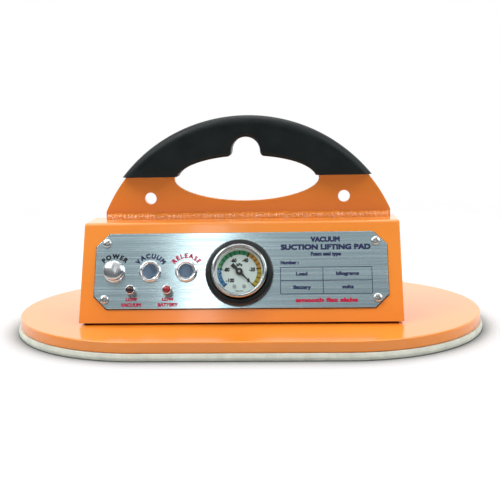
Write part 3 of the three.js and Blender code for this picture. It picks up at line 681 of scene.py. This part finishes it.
def housing():
    """Drawn about x = 0 and then moved to its place: folded sheet, an open foot with lips, and its holes."""
    half = (HOUSE_HIGH.x - HOUSE_LOW.x) / 2
    centre = (HOUSE_LOW.x + HOUSE_HIGH.x) / 2
    floor_z = HOUSE_LOW.z + SHEET
    outer = sheet("housing", [house_section(0, HOUSE_LOW.z, 4.0)], -half, half, edge=1.1, steps=4)
    moved(outer, STAND_YZ)
    inner_half = half - SHEET
    cavity = sheet("cavity", [house_section(SHEET, floor_z, 2.0)], -inner_half, inner_half, edge=0.2)
    mouth = rectangle(18 - half, half - 18, HOUSE_LOW.y + 14, HOUSE_HIGH.y - 10, 4)
    cutters = [moved(cavity, STAND_YZ), sheet("mouth", [mouth], 0, 21, edge=0.1)]
    for row in range(4):
        low = 62 + 6 * row
        cutters.append(rear_wall_cut("vent", rectangle(70, 116, low, low + 3, 1.49)))
    cutters.append(rear_wall_cut("window", rectangle(-12, 12, 44, 56, 2)))
    for node, radius in PANEL_HOLES.items():
        at = panel_middle(node)
        hole = shifted(turned("hole", rod(radius, -9, 9), 48), at.x, at.y)
        cutters.append(shifted(moved(hole, PANEL), -centre, 0))
    for i in (1, 2):
        bore = moved(turned("bore", rod(DOCK_SCREW_BORE, -8, 8), 24), STAND_XZ)
        cutters.append(shifted(bore, 0, HOUSE_HIGH.y, middle(f"dock_screw_{i}").z))
    shell = shifted(carved(outer, cutters), centre, 0)
    nuts, threads = [], []
    for i in range(1, 5):
        at = middle(f"base_screw_{i}")
        nuts.append(shifted(turned("weld_nut", rod(4.6, floor_z - 0.5, floor_z + 4), 6), at.x, at.y))
        thread = rod(BASE_SCREW_BORE, HOUSE_LOW.z - 2, floor_z + 9)
        threads.append(shifted(turned("thread", thread, 24), at.x, at.y))
    carved(shell, nuts, "UNION")
    carved(shell, threads)
    place(shell, "orange_paint", "housing_shell")


# ---- Handle ----
def opening_top(x, half, rise):
    return OPENING["z"] + rise * math.sqrt(1 - min(1.0, abs(x / half)) ** 2)


def upper_edge(wall, start, steps=40):
    """The top of the hand opening from -start to start, with the hook notch, moved in by a wall."""
    half, rise, notch = OPENING["half"] - wall, OPENING["rise"] - wall, NOTCH["radius"] - wall
    mouth = notch + NOTCH["flare"]
    mouth_z = opening_top(mouth, half, rise)
    limit = math.acos(mouth / start)
    side = [start * math.cos(limit * i / steps) for i in range(steps + 1)]
    left = [(-x, opening_top(x, half, rise)) for x in side]
    lip = []
    for i in range(1, 9):
        t = i / 8
        a, b, c = (-mouth, mouth_z), (-notch - 0.4, mouth_z + 0.4), (-notch, NOTCH["z"])
        lip.append(tuple((1 - t) ** 2 * p + 2 * t * (1 - t) * q + t * t * r for p, q, r in zip(a, b, c)))
    crown = arc(0, NOTCH["z"], notch, 180, 0, 36)[1:-1]
    right = [(-x, z) for x, z in reversed(left + lip)]
    return left + lip + crown + right


def handle_plate():
    half_foot = HANDLE_HIGH.x
    radius = HANDLE_HIGH.z - HAND_ARC_Z
    turn = math.degrees(math.acos(half_foot / radius))
    foot = [(-half_foot, HANDLE_LOW.z), (half_foot, HANDLE_LOW.z)]
    outer = foot + arc(0, HAND_ARC_Z, radius, turn, 180 - turn, 90)
    half, drop, power = OPENING["half"], OPENING["drop"], OPENING["power"]
    hole = upper_edge(0, half)
    for i in range(1, 60):
        x = half * math.cos(math.pi * i / 60)
        hole.append((x, OPENING["z"] - drop * (1 - abs(x / half) ** power) ** (1 / power)))
    tethers = [circle(side * TETHER["x"], TETHER["z"], TETHER["radius"]) for side in (-1, 1)]
    thick = HANDLE_HIGH.y - HANDLE_LOW.y
    plate = sheet("handle_arch", [outer, hole, *tethers], -thick / 2, thick / 2, edge=0.7, steps=3)
    place(moved(plate, STAND_XZ), "orange_paint", "handle_plate")


def grip_section(width, depth):
    """The grip's slice: u from the inner edge out to the arc, v from front to rear."""
    outer_u, outer_v = min(9.0, width * 0.45), 8.0
    inner_u, inner_v = min(3.4, width * 0.2), 3.4
    corners = [
        (width - outer_u, depth - outer_v, outer_u, outer_v, 0),
        (inner_u, depth - inner_v, inner_u, inner_v, 90),
        (inner_u, inner_v - depth, inner_u, inner_v, 180),
        (width - outer_u, outer_v - depth, outer_u, outer_v, 270),
    ]
    slice_points = []
    for u, v, radius_u, radius_v, start in corners:
        for k in range(9):
            a = math.radians(start + 90 * k / 8)
            slice_points.append((u + radius_u * math.cos(a), v + radius_v * math.sin(a)))
    return slice_points


def between(low, high, t):
    return low + (high - low) * t


def handle_grip():
    """Moulded rubber over the arch: slices that run from the opening's edge out to the arc."""
    outer_radius = GRIP_HIGH.z - HAND_ARC_Z
    end_turn = math.degrees(math.asin((GRIP_END_Z - HAND_ARC_Z) / outer_radius))
    notch_turn = 9.5
    rest = (GRIP_END_Z - OPENING["z"]) / (OPENING["rise"] - GRIP_WALL)
    start = (OPENING["half"] - GRIP_WALL) * math.sqrt(1 - rest ** 2)
    inner = upper_edge(GRIP_WALL, start, steps=44)
    reach = [0.0]
    for a, b in zip(inner, inner[1:]):
        reach.append(reach[-1] + math.dist(a, b))
    by_notch = [i for i, (x, z) in enumerate(inner) if abs(x) <= NOTCH["radius"] - GRIP_WALL + 3.5]
    first, last = reach[by_notch[0]], reach[by_notch[-1]]
    depth = (GRIP_HIGH.y - GRIP_LOW.y) / 2
    loops = []
    for (x, z), run in zip(inner, reach):
        if run <= first:
            turn = between(180 - end_turn, 90 + notch_turn, run / first)
        elif run >= last:
            turn = between(90 - notch_turn, end_turn, (run - last) / (reach[-1] - last))
        else:
            turn = between(90 + notch_turn, 90 - notch_turn, (run - first) / (last - first))
        a = math.radians(turn)
        outer = (outer_radius * math.cos(a), HAND_ARC_Z + outer_radius * math.sin(a))
        width = math.dist((x, z), outer)
        out_x, out_z = (outer[0] - x) / width, (outer[1] - z) / width
        loops.append([(x + out_x * u, v, z + out_z * u) for u, v in grip_section(width, depth)])
    place(swept("grip", loops, closed=False, angle=50), "grip_rubber", "handle_grip")


def weld(side, node):
    """A painted fillet weld, in front of the handle or behind it: overlapping scallops, a little uneven."""
    low, high = box_mm(node)
    root = Vector((0, low.y if side > 0 else high.y, low.z))
    leg = high.z - low.z
    length = high.x - low.x
    count = int(length / 0.4)
    loops = []
    for i in range(count + 1):
        x = low.x + length * i / count
        size = leg * (0.84 + 0.12 * noise.noise(Vector((x * 0.11, side * 7.0, 0))))
        foot_wave = 0.9 * noise.noise(Vector((x * 0.16, side * 2.0, 4)))
        loop = [(x, root.y, root.z)]
        for k in range(13):
            t = k / 12
            drift = 0.35 * noise.noise(Vector((x * 0.2, side * 3.0, 1)))
            phase = (x + 2.2 * math.sin(math.pi * t)) / 3.3 + drift
            ripple = abs(math.sin(math.pi * phase)) ** 0.6
            grit = noise.noise(Vector((x * 1.1, t * 4.0, side * 5.0)))
            swell = math.sin(math.pi * t) * (0.5 + 0.8 * ripple + 0.7 * grit)
            out_by = (1 - t) * (size + foot_wave) + swell * 0.6
            up_by = t * size + swell * 0.6
            out_by = max(0, min(leg, out_by))
            up_by = max(0, min(leg, up_by))
            loop.append((x, root.y + side * out_by, root.z + up_by))
        loops.append(loop)
    place(swept(node.replace("_bead", ""), loops, closed=False, angle=60), "weld_paint", node)


# ---- Front panel ----
FACE_LOW, FACE_HIGH = panel_box("face_plate")
FACE_Z = FACE_HIGH.z
FACE_GAP = 0.1  # under whatever stands on the panel
INK_GAP = 0.02


def panel_sheet():
    """The steel sheet, and a black sheet behind it that shows as a thin outline round it: a painted shadow of
    the steel's edges.
    """
    x0, x1, y0, y1 = FACE_LOW.x, FACE_HIGH.x, FACE_LOW.y, FACE_HIGH.y
    cut = FACE_CUT_OFF
    corners = [
        (x0 + cut, y0), (x1 - cut, y0), (x1, y0 + cut), (x1, y1 - cut),
        (x1 - cut, y1), (x0 + cut, y1), (x0, y1 - cut), (x0, y0 + cut),
    ]
    outline = rounded([(x, y, 0.8) for x, y in corners], 3)
    rim = 0.5
    mid_y = (y0 + y1) / 2
    grown = [(x + math.copysign(rim, x), y + math.copysign(rim, y - mid_y)) for x, y in corners]
    holes = []
    for node, radius in PANEL_HOLES.items():
        at = panel_middle(node)
        holes.append(circle(at.x, at.y, radius))
    # Painted shadow: a thin black sheet, a little larger than the steel, stands for the shadow along its
    # edges.
    on_panel(sheet("panel_shadow_outline", [grown, *holes], 0.01, 0.09, edge=0.0), "black")
    steel = sheet("panel_sheet", [outline, *holes], FACE_LOW.z, FACE_HIGH.z, edge=0.25)
    on_panel(steel, "panel_steel", "face_plate")


def panel_screw(node):
    """A pan-head screw with a cross recess."""
    low, high = panel_box(node)
    at = (low + high) / 2
    top, radius = high.z, (high.x - low.x) / 2
    foot, rise = FACE_Z + FACE_GAP, 1.35
    profile = [
        (0, low.z), (1.4, low.z), (1.9, low.z + 0.6), (1.9, foot), (radius - 0.2, foot), (radius, foot + 0.2),
        *dome(radius, rise, top - rise, 8), (0, top),
    ]
    screw = turned(node + "_head", profile, 48)
    arm, half = 2.25, 0.42
    bars = []
    for turn in (0, 90):
        bar = sheet("bar", [rectangle(-arm, arm, -half, half, 0.3)], top - 1.5, top + 1, edge=0.0)
        bars.append(moved(bar, Matrix.Rotation(math.radians(turn + 20 * int(node[-1])), 4, "Z")))
    pit = turned("pit", [(0, top - 1.9), (1.15, top - 0.9), (1.25, top + 1), (0, top + 1)], 24)
    on_panel(shifted(carved(screw, [*bars, pit]), at.x, at.y), "zinc_steel", node)


def bezel_ring(node):
    """A switch flange: a polished ring that falls away to the bore inside it."""
    low, high = panel_box(node)
    at = panel_middle(node.replace("bezel", "cap"))
    foot, top = FACE_Z + FACE_GAP, high.z
    radius, bore, barrel = (high.x - low.x) / 2, 6.9, 7.8
    rim = arc(radius - 1.5, top - 1.5, 1.5, 0, 90, 8)
    throat = arc(radius - 1.5, top - 0.9, 0.9, 90, 160, 5)
    profile = [
        (0, low.z + 5), (barrel, low.z + 5), (barrel, foot), (radius - 0.2, foot), (radius, foot + 0.3),
        *rim, *throat, (bore + 0.15, top - 1.5), (bore, top - 1.9), (bore, top - 9), (0, top - 9),
    ]
    flange = turned(node.replace("_bezel", "_flange"), profile, 80)
    on_panel(shifted(flange, at.x, at.y), "chrome_trim", node)


def domed_cap():
    """The power button's bright mushroom head."""
    low, high = panel_box("power_cap")
    at = (low + high) / 2
    radius, stem, top = (high.x - low.x) / 2, 6.6, high.z
    rise, under = 2.5, top - 3.2
    profile = [
        (0, low.z), (stem, low.z), (stem, under), (radius - 0.4, under), (radius, under + 0.35),
        *dome(radius, rise, under + 0.7, 14), (0, top),
    ]
    cap = shifted(turned("power_button", profile, 80, angle=50), at.x, at.y)
    on_panel(cap, "turned_chrome", "power_cap", body="power_button")


def dished_cap(name):
    """A flat metal button with a shallow dish in it, inside a bright collar; its blue-grey colour is a
    painted reflection.
    """
    low, high = panel_box(name + "_cap")
    at = (low + high) / 2
    radius, top = (high.x - low.x) / 2, high.z
    disc = 5.9
    dish = [(r, top - 0.25 - 0.3 * (1 - (r / disc) ** 2)) for r in (disc - 0.05, 4.8, 3.6, 2.4, 1.2)]
    skirt, shoulder = radius - 0.1, top - 0.8
    profile = [(0, low.z), (skirt, low.z), (skirt, shoulder), (disc, shoulder), *dish, (0, top - 0.55)]
    cap = shifted(turned(name + "_button", profile, 72), at.x, at.y)
    # Painted reflection: the button's blue-grey colour stands for what its polished face reflects.
    on_panel(cap, "blued_caps", name + "_cap", body=name + "_button")
    inside = disc + 0.02
    collar = [
        (inside, top - 0.79), (radius, top - 0.79), (radius, top - 0.3), (radius - 0.15, top - 0.05),
        (radius - 0.3, top), (disc + 0.2, top - 0.05), (inside, top - 0.3), (inside, top - 0.79),
    ]
    ring = shifted(turned(name + "_collar", collar, 72), at.x, at.y)
    on_panel(ring, "chrome_trim", body=name + "_button")


def lamp(name):
    """An indicator lamp: a bright sleeve with a coloured dome in it."""
    low, high = panel_box(name + "_holder")
    at = (low + high) / 2
    radius, top, foot = (high.x - low.x) / 2, high.z, FACE_Z + FACE_GAP
    bore, barrel = 2.9, radius - 0.3
    profile = [
        (0, low.z), (barrel, low.z), (barrel, foot), (radius - 0.1, foot), (radius, foot + 0.2),
        (radius, top - 0.7), (radius - 0.2, top - 0.25), (radius - 0.6, top), (bore + 0.35, top),
        (bore, top - 0.35), (bore, -6), (0, -6),
    ]
    on_panel(shifted(turned(name + "_sleeve", profile, 56), at.x, at.y), "chrome_trim", name + "_holder")
    low, high = panel_box(name + "_lens")
    radius, rise = (high.x - low.x) / 2, 1.3
    profile = [(0, low.z), (radius, low.z), *dome(radius, rise, high.z - rise, 10), (0, high.z)]
    bulb = shifted(turned(name + "_dome", profile, 48, angle=60), at.x, at.y)
    on_panel(bulb, SLOT_OF[name + "_lens"], name + "_lens")


# ---- Lettering ----
def letters(name, words, size, weight=0.0, align="CENTER"):
    """Printed words as thin solids on z = 0. Copies moved by the weight make the strokes bolder."""
    text = bpy.data.curves.new(name, "FONT")
    text.body = words
    text.size = size * MM
    text.align_x = align
    text.align_y = "CENTER"
    text.extrude = INK_THICK / 2 * MM
    text.resolution_u = 3
    plain = from_curve(name, text, INK_THICK / 2)
    if weight == 0:
        return plain
    moves = [(dx, dy) for dx in (-weight, 0, weight) for dy in (-weight, 0, weight)]
    copies = []
    for step, (dx, dy) in enumerate(moves):
        copy = link(name, plain.data.copy())
        copies.append(shifted(copy, dx, dy, 0.001 * step))
    bpy.data.objects.remove(plain)
    return joined(name, copies)


def printed(name, words, x, y, size, color, weight, align="CENTER", widen=1.0):
    word = letters(name, words, size, weight, align)
    moved(word, Matrix.Scale(widen, 4, (1, 0, 0)))
    on_panel(shifted(word, x, y, FACE_Z + INK_GAP), color)


def curved_word(name, word, cx, cy, color):
    """A word set round the top of a button, each letter square to the radius."""
    radius, size, weight, gap = 13.2, 5.3, 0.28, 0.8
    glyphs = [letters("glyph", letter, size, weight) for letter in word]
    widths = [glyph.dimensions.x / MM for glyph in glyphs]
    total = sum(widths) + gap * (len(word) - 1)
    run = -total / 2
    for glyph, width in zip(glyphs, widths):
        xs = [v.co.x for v in glyph.data.vertices]
        moved(glyph, Matrix.Translation((-(max(xs) + min(xs)) / 2, 0, 0)))
        angle = (run + width / 2) / radius
        moved(glyph, Matrix.Rotation(-angle, 4, "Z"))
        shifted(glyph, cx + radius * math.sin(angle), cy + radius * math.cos(angle), FACE_Z + INK_GAP)
        run += width + gap
    on_panel(joined(name, glyphs), color)


def rule(name, x0, x1, y0, y1):
    """A printed line of the table."""
    low = FACE_Z + INK_GAP
    on_panel(sheet(name, [rectangle(x0, x1, y0, y1)], low, low + INK_THICK, edge=0.0), "navy")


def panel_print():
    for name, color in (("power", "black"), ("vacuum", "navy"), ("release", "red")):
        at = panel_middle(name + "_cap")
        curved_word("print_" + name, name.upper(), at.x, at.y, color)
    for name, word in (("low_vacuum", "VACUUM"), ("low_battery", "BATTERY")):
        at = panel_middle(name + "_lens")
        printed(f"print_{name}_top", "LOW", at.x, 19.2, 3.6, "red", 0.22, widen=1.1)
        printed(f"print_{name}_foot", word, at.x, 14.6, 3.6, "red", 0.22, widen=1.1)
    left, column, right = 33.0, 67.6, 107.4
    centre = (left + right) / 2
    printed("print_title", "VACUUM", centre, 69.0, 5.7, "navy", 0.34)
    printed("print_subtitle", "SUCTION LIFTING PAD", centre, 62.4, 5.9, "navy", 0.34, widen=1.2)
    printed("print_note", "Foam seal type", centre, 56.6, 4.1, "navy", 0.26)
    printed("print_number", "Number :", left, 49.3, 3.8, "navy", 0.24, align="LEFT")
    low, middle_y, high = 23.0, 34.2, 45.4
    thin = 0.27
    for i, y in enumerate((low, middle_y, high)):
        rule(f"print_row_{i + 1}", left, right, y - thin, y + thin)
    for i, x in enumerate((left, column, right)):
        rule(f"print_column_{i + 1}", x - thin, x + thin, low, high)
    cells = [
        ("print_load", "Load", (left + column) / 2, 39.7),
        ("print_load_unit", "kilograms", (column + right) / 2, 39.9),
        ("print_battery", "Battery", (left + column) / 2, 28.4),
        ("print_volts", "volts", (column + right) / 2, 28.6),
    ]
    for name, word, x, y in cells:
        printed(name, word, x, y, 4.0, "navy", 0.22, widen=1.2)
    printed("print_foot", "smooth flat slabs", centre, 17.6, 4.6, "red", 0.27, widen=1.6)


# ---- Vacuum gauge, drawn about its own centre ----
GAUGE = panel_middle("gauge_bezel")
DIAL_TOP = panel_box("gauge_dial")[1].z
BAND_IN, BAND_OUT = 14.6, 18.2
SWEEP = JOINTS["needle_turn"]["range_deg"][1]
FULL_SCALE = 100


def gauge_angle(reading):
    """Clockwise from the top, in degrees, for a reading from 0 down to -100."""
    return SWEEP / 2 + SWEEP * reading / FULL_SCALE


def on_gauge(obj, look, *nodes, body="lifter"):
    on_panel(shifted(obj, GAUGE.x, GAUGE.y), look, *nodes, body=body)


def dial_sector(name, start, end, color):
    a, b = 90 - gauge_angle(start), 90 - gauge_angle(end)
    outline = arc(0, 0, BAND_OUT, a, b, 24) + arc(0, 0, BAND_IN, b, a, 24)
    on_gauge(sheet(name, [outline], DIAL_TOP + 0.01, DIAL_TOP + 0.05, edge=0.0), color)


def dial_marks():
    ticks, numbers = [], []
    for reading in range(0, -FULL_SCALE - 1, -5):
        long_tick = reading % 20 == 0
        inner, half = (BAND_IN - 0.7, 0.5) if long_tick else (BAND_IN, 0.34)
        outline = rectangle(-half, half, inner, BAND_OUT)
        tick = sheet("tick", [outline], DIAL_TOP + 0.06, DIAL_TOP + 0.09, edge=0.0)
        ticks.append(moved(tick, Matrix.Rotation(-math.radians(gauge_angle(reading)), 4, "Z")))
    on_gauge(joined("dial_ticks", ticks), "black")
    number_radius = 10.6
    for reading in range(0, -FULL_SCALE - 1, -20):
        a = math.radians(gauge_angle(reading))
        word = letters("number", str(reading), 4.3, 0.22)
        moved(word, Matrix.Scale(0.85, 4, (1, 0, 0)))
        x, y = number_radius * math.sin(a), number_radius * math.cos(a)
        numbers.append(shifted(word, x, y, DIAL_TOP + INK_GAP))
    on_gauge(joined("dial_numbers", numbers), "black")
    on_gauge(shifted(letters("dial_unit", "kPa", 3.4, 0.16), 0, 5.9, DIAL_TOP + INK_GAP), "black")
    on_gauge(shifted(letters("dial_word", "VACUUM", 1.5, 0.03), 0, -16.3, DIAL_TOP + INK_GAP), "black")


def gauge_flange():
    low, high = panel_box("gauge_panel_ring")
    outer, inner, foot, top = (high.x - low.x) / 2, 23.2, low.z, high.z
    rim = arc(outer - 1.6, top - 2.0, 1.6, 0, 70, 6)
    profile = [
        (inner, foot), (outer - 0.2, foot), (outer, foot + 0.2), *rim, (outer - 2.6, top - 0.15),
        (inner + 0.6, top), (inner, top - 0.5), (inner, foot),
    ]
    on_gauge(turned("gauge_flange", profile, 96), "gauge_black", "gauge_panel_ring")


def gauge_rim():
    low, high = panel_box("gauge_bezel")
    outer, inner, foot, top = (high.x - low.x) / 2, 20.2, low.z, high.z
    rim = arc(outer - 1.6, top - 1.6, 1.6, 0, 90, 8)
    profile = [
        (inner, foot), (outer - 0.3, foot), (outer, foot + 0.3), *rim, (inner, top), (19.7, top - 0.3),
        (19.2, top - 1.4), (19.05, 8.6), (inner, 8.5), (inner, foot),
    ]
    on_gauge(turned("gauge_rim", profile, 96), "gauge_chrome", "gauge_bezel")


def gauge_window():
    low, high, radius, edge = 7.2, 8.3, 19.9, 0.1
    profile = [
        (0, low), (radius - edge, low), (radius, low + edge), (radius, high - edge), (radius - edge, high),
        (0, high),
    ]
    on_gauge(turned("gauge_glass", profile, 72), "window_glass", "gauge_window")


def gauge_face():
    """The dial's disc, and the white wall that rises from its edge to the window."""
    radius, bore, foot = 20.6, 1.2, DIAL_TOP - 0.8
    profile = [
        (bore, foot), (radius - 0.1, foot), (radius, foot + 0.1), (radius, DIAL_TOP - 0.1),
        (radius - 0.1, DIAL_TOP), (bore, DIAL_TOP), (bore, foot),
    ]
    on_gauge(turned("gauge_face", profile, 96), "dial_white", "gauge_dial")
    foot, top = DIAL_TOP + 0.02, 7.1
    wall = [(19.0, foot), (radius, foot), (radius, top), (20.1, top), (19.0, foot)]
    on_gauge(turned("gauge_reflector", wall, 96), "dial_white")


def dial_screw(side):
    head = turned("dial_screw", [(0, 0), (1.6, 0), (1.6, 0.3), (1.35, 0.5), (0, 0.55)], 28)
    slot = sheet("slot", [rectangle(-1.9, 1.9, -0.2, 0.2)], 0.2, 0.9, edge=0.0)
    head = carved(head, [moved(slot, Matrix.Rotation(0.6 * side, 4, "Z"))])
    head.name = "dial_screw_left" if side < 0 else "dial_screw_right"
    on_gauge(shifted(head, 3.9 * side, -12.2, DIAL_TOP + 0.02), "zinc_steel")


def gauge():
    gauge_flange()
    gauge_rim()
    gauge_window()
    gauge_face()
    dial_sector("dial_blue", -100, -80, "blue")
    dial_sector("dial_green", -80, -40, "green")
    dial_sector("dial_amber", -40, -20, "amber")
    dial_sector("dial_yellow", -20, 0, "yellow")
    dial_marks()
    dial_screw(-1)
    dial_screw(1)


def needle():
    """The pointer on its hub, with a bright cap."""
    low = panel_box("gauge_needle")[1].z - 1.8
    right = [(1.7, -8.6), (1.2, -3.0), (1.0, 0), (0.45, 9.0), (0.12, 16.4)]
    outline = [(-right[0][0], right[0][1]), *right, *[(-x, y) for x, y in reversed(right[1:])]]
    blade = sheet("blade", [outline], low + 0.25, low + 0.75, edge=0.06, steps=1)
    profile = [
        (0, -2), (0.7, -2), (0.7, low), (2.7, low), (2.9, low + 0.2), (2.9, low + 0.9),
        (2.6, low + 1.2), (0, low + 1.2),
    ]
    hub = turned("hub", profile, 40)
    pointer = moved(joined("pointer", [blade, hub]), Matrix.Rotation(-math.radians(gauge_angle(0)), 4, "Z"))
    on_gauge(pointer, "black_plastic", "gauge_needle", body="needle")
    foot = low + 1.21
    profile = [(0, foot), (1.0, foot), (1.0, low + 1.5), (0.8, low + 1.75), (0, low + 1.8)]
    on_gauge(turned("pointer_cap", profile, 32), "zinc_steel", body="needle")


# ---- Battery ----
def on_rear(obj, y, x=0.0, z=0.0):
    """Stands a piece drawn in (x, y) up in (x, z) and moves it to a depth y."""
    return shifted(moved(obj, STAND_XZ), x, y, z)


def battery():
    """The pack, drawn about x = 0: its rail slot, the latch's pocket, grooves, label and charge lamps."""
    low, high = box_mm("battery_pack")
    centre, half = (low.x + high.x) / 2, (high.x - low.x) / 2
    outline = rounded([(-half, low.y, 2.4), (half, low.y, 2.4), (half, high.y, 6), (-half, high.y, 6)], 8)
    pack = sheet("battery_case", [outline], low.z, high.z, edge=1.6, steps=4)
    slot_top = 78.6
    latch_low, latch_high = box_mm("battery_latch")
    gap = 0.35
    pocket = rectangle(-12 - gap, 12 + gap, latch_low.z - gap, latch_high.z + gap, 1.6)
    cutters = [
        sheet("neck", [rectangle(-20.6, 20.6, low.y - 5, 20)], 0, slot_top, edge=0.0),
        sheet("head", [rectangle(-26.6, 26.6, 19.4, 24.6)], 0, slot_top, edge=0.0),
        on_rear(sheet("pocket", [pocket], -15, 15, edge=0.0), latch_low.y + 11.7),
    ]
    for low_x, high_x in ((-half - 5, 1 - half), (half - 1, half + 5)):
        for low_z in range(32, 65, 8):
            groove = sheet("groove", [rectangle(30, 48, low_z, low_z + 3.2, 1.5)], low_x, high_x, edge=0.0)
            cutters.append(moved(groove, STAND_YZ))
    recess = sheet("label", [rectangle(-22, 22, 27, 49, 2)], -4, 4, edge=0.0)
    cutters.append(on_rear(recess, high.y + 3.4))
    lamp_z, lamp_xs = 56.5, [-9 + 6 * i for i in range(4)]
    for x in lamp_xs:
        cutters.append(on_rear(turned("dot", rod(1.1, -4, 4), 20), high.y + 3.2, x, lamp_z))
    place(shifted(carved(pack, cutters), centre, 0), "battery_plastic", "battery_pack", body="battery")
    for i, x in enumerate(lamp_xs):
        bead = turned(f"charge_lamp_{i + 1}", [(0, 0), (1.0, 0), (1.0, 0.5), (0.8, 0.7), (0, 0.75)], 24)
        moved(bead, Matrix.Rotation(math.radians(-90), 4, "X"))
        place(shifted(bead, centre + x, high.y - 0.78, lamp_z), "green", body="battery")
    sticker = sheet("battery_label", [rectangle(-21.6, 21.6, 27.4, 48.6, 1.8)], -0.2, 0.2, edge=0.05)
    place(on_rear(sticker, high.y - 0.38, centre), "grey", body="battery")


def latch():
    low, high = box_mm("battery_latch")
    centre, half, thick = (low.x + high.x) / 2, (high.x - low.x) / 2, high.y - low.y
    outline = rectangle(-half, half, low.z, high.z, 1.3)
    button = sheet("latch_button", [outline], -thick / 2, thick / 2, edge=0.6, steps=3)
    on_rear(button, (low.y + high.y) / 2)
    cutters = []
    for up in (3, 6, 9):
        outline = rectangle(-9, 9, low.z + up, low.z + up + 1.2, 0.55)
        cutters.append(on_rear(sheet("groove", [outline], -2, 2, edge=0.0), high.y + 1.4))
    place(shifted(carved(button, cutters), centre, 0), "latch_plastic", "battery_latch", body="latch")


# ---- CAD nodes that stay, with their own material ----
def dress_cad_nodes():
    for name, obj in frame["nodes"].items():
        if obj.hide_render:
            continue
        obj.data.materials.clear()
        obj.data.materials.append(LOOKS[SLOT_OF[name]])


pad_seal()
pad_plate()
housing()
handle_plate()
handle_grip()
weld(-1, "weld_bead_front")
weld(1, "weld_bead_rear")
panel_sheet()
for number in range(1, 5):
    panel_screw(f"face_screw_{number}")
for switch in ("power", "vacuum", "release"):
    bezel_ring(switch + "_bezel")
domed_cap()
dished_cap("vacuum")
dished_cap("release")
lamp("low_vacuum")
lamp("low_battery")
panel_print()
gauge()
needle()
battery()
latch()
dress_cad_nodes()
